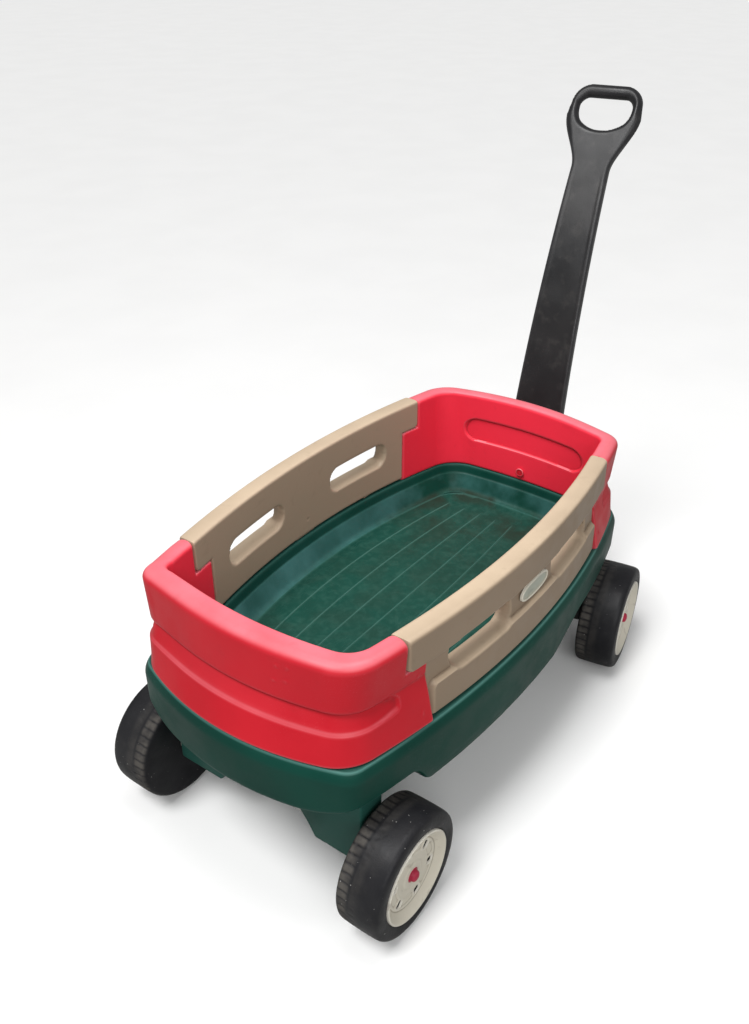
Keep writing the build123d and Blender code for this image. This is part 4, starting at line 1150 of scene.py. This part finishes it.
def handle():
    """Flat bowed bar that narrows upwards and ends in a D-shaped grip."""
    us = lines(-78, 78, 2.2)
    vs = np.concatenate([lines(FOOT, 730, 4.4)[:-1], lines(730, TOP, 2.2)])

    def half_width(length):
        straight = np.interp(length, (FOOT, 250, NECK), (54, 54, NECK_HALF))
        flare = NECK_HALF + (GRIP_HALF - NECK_HALF) * ramp(length, NECK, GRIP)
        top = np.interp(length, (GRIP, TOP), (GRIP_HALF, 68))
        return np.where(length < NECK, straight, np.where(length < GRIP, flare, top))

    def outline(w, length):
        slope = (half_width(length + 1) - half_width(length - 1)) / 2
        side = (half_width(length) - np.abs(w)) / np.hypot(1, slope)
        return np.minimum(rounded(side, TOP - length, 34.0), rounded(side, length - FOOT, 16.0))

    def hole(w, length):
        cup = CUP[1] - np.hypot(w, length - CUP[0])
        sides = 55.5 - np.abs(w) - (length - 876).clip(0, 40) * 0.06
        return -np.minimum(rounded(HOLE_TOP - length, sides, 17.0), rounded(cup, sides, 12.0))

    def region(w, length):
        return np.minimum(outline(w, length), hole(w, length))

    def faces(sign):
        def face(w, length):
            grip = ramp(length, 800, 860)
            soft = 5.0 + 8.5 * grip
            thin = roll(region(w, length), soft, 4.2 + 8.0 * grip)
            rim = 0.7 * ramp(outline(w, length), 7, 11) * (1 - ramp(length, 730, 780))
            thick = HALF_THICK - thin - rim
            offset = np.sqrt(BOW_RADIUS**2 - (length - LENGTH / 2) ** 2) - (BOW_RADIUS - BOW)
            swing = np.arcsin((length - LENGTH / 2) / BOW_RADIUS)
            along = length + sign * thick * np.sin(swing)
            back = offset + sign * thick * np.cos(swing)
            x = PIVOT[0] + along * math.sin(LEAN) - back * math.cos(LEAN)
            z = PIVOT[1] + along * math.cos(LEAN) + back * math.sin(LEAN)
            return steered(xyz(x, w - PLAY * length, z))

        return face

    data = shell(us, vs, region, faces(1), faces(-1))
    piece("pull_bar", data, BLACK, "pull_handle", ("handle",))


handle()


# ---- CAD nodes that keep their own shape ----
def dress(material, *nodes):
    for node in nodes:
        mesh = frame["nodes"][node].data
        mesh.materials.clear()
        mesh.materials.append(material)


dress(BOLSTER, "bolster")
dress(NYLON, "kingpin_sleeve", "handle_sleeve")
for corner in ("rear_left", "rear_right", "front_left", "front_right"):
    dress(NYLON, f"{corner}_bushing")
dress(STEEL, "rear_axle", "front_axle", "rear_axle_washers", "front_axle_washers")
dress(STEEL, "kingpin", "kingpin_washer", "pivot_pin", "pivot_pin_cap")
dress(BRASS, "kingpin_insert")


# ---- stage, light and camera ----
def floor_material():
    """Pale floor, whiter to the camera than to the lamps so that it throws little light back."""
    s = Shader("studio_floor")
    mottle = s.span(s.noise(3.0, 3.0), 0.3, 0.7)
    seen = s.mix(mottle, (0.95, 0.95, 0.945), (0.97, 0.97, 0.965))
    thrown = s.mix(mottle, (0.38, 0.38, 0.37), (0.42, 0.42, 0.41))
    camera_ray = s.node("ShaderNodeLightPath").outputs["Is Camera Ray"]
    return s.finish(s.mix(camera_ray, thrown, seen), 0.8, s.bump(s.noise(260.0, 2.0), 0.0002, 0.2))


ground = cad_box[0].z
bpy.ops.mesh.primitive_plane_add(size=120, location=(ORIGIN[0], 0, ground))
floor = bpy.context.object
floor.name = "studio_floor"
floor.data.materials.append(floor_material())


def area_light(name, place, aim, size, power):
    """Soft square lamp pointed at a place."""
    data = bpy.data.lights.new(name, "AREA")
    data.size = size
    data.energy = power
    lamp = bpy.data.objects.new(name, data)
    lamp.location = place
    lamp.rotation_euler = (Vector(aim) - Vector(place)).to_track_quat("-Z", "Y").to_euler()
    bpy.context.scene.collection.objects.link(lamp)


aim = (ORIGIN[0], 0, 0.4)
area_light("fill", (ORIGIN[0] - 2.3, -2.6, 2.6), aim, 2.2, 62)
area_light("bed", (ORIGIN[0] - 0.15, -0.1, 1.65), aim, 0.7, 10)

sun = bpy.data.lights.new("key", "SUN")
sun.energy = 2.1
sun.angle = math.radians(24)
key = bpy.data.objects.new("key", sun)
key.rotation_euler = Vector((0.42, -0.12, -0.90)).to_track_quat("-Z", "Y").to_euler()
bpy.context.scene.collection.objects.link(key)

world = bpy.data.worlds.new("studio")
world.use_nodes = True
tree = world.node_tree
brightness = tree.nodes.new("ShaderNodeMapRange")
brightness.inputs["To Min"].default_value = 0.30
brightness.inputs["To Max"].default_value = 0.92
camera_ray = tree.nodes.new("ShaderNodeLightPath").outputs["Is Camera Ray"]
tree.links.new(camera_ray, brightness.inputs["Value"])
tree.links.new(brightness.outputs["Result"], tree.nodes["Background"].inputs["Strength"])
tree.nodes["Background"].inputs["Color"].default_value = (1, 1, 1, 1)
bpy.context.scene.world = world
bpy.context.scene.view_settings.view_transform = "Standard"

# Camera at the photograph's viewing angle: place in millimetres about the bed's middle.
CAMERA_PLACE = (-1217.3, -814.5, 1402.2)
CAMERA_TURN = (1.9453778951463787, -0.9900580284727344, 0.5483268881193529)
turn = Vector(CAMERA_TURN)
to_camera = Matrix.Rotation(turn.length, 3, turn.normalized())
right, down, forward = to_camera[0], to_camera[1], to_camera[2]
rotation = Matrix((right, -down, -forward)).transposed()
camera_data = bpy.data.cameras.new("camera")
camera_data.lens = 34.52
camera_data.sensor_width = 36
camera_data.clip_start = 0.05
camera = bpy.data.objects.new("camera", camera_data)
place = Vector(ORIGIN) + Vector(CAMERA_PLACE) * MM
camera.matrix_world = Matrix.Translation(place) @ rotation.to_4x4()
bpy.context.scene.collection.objects.link(camera)
bpy.context.scene.camera = camera
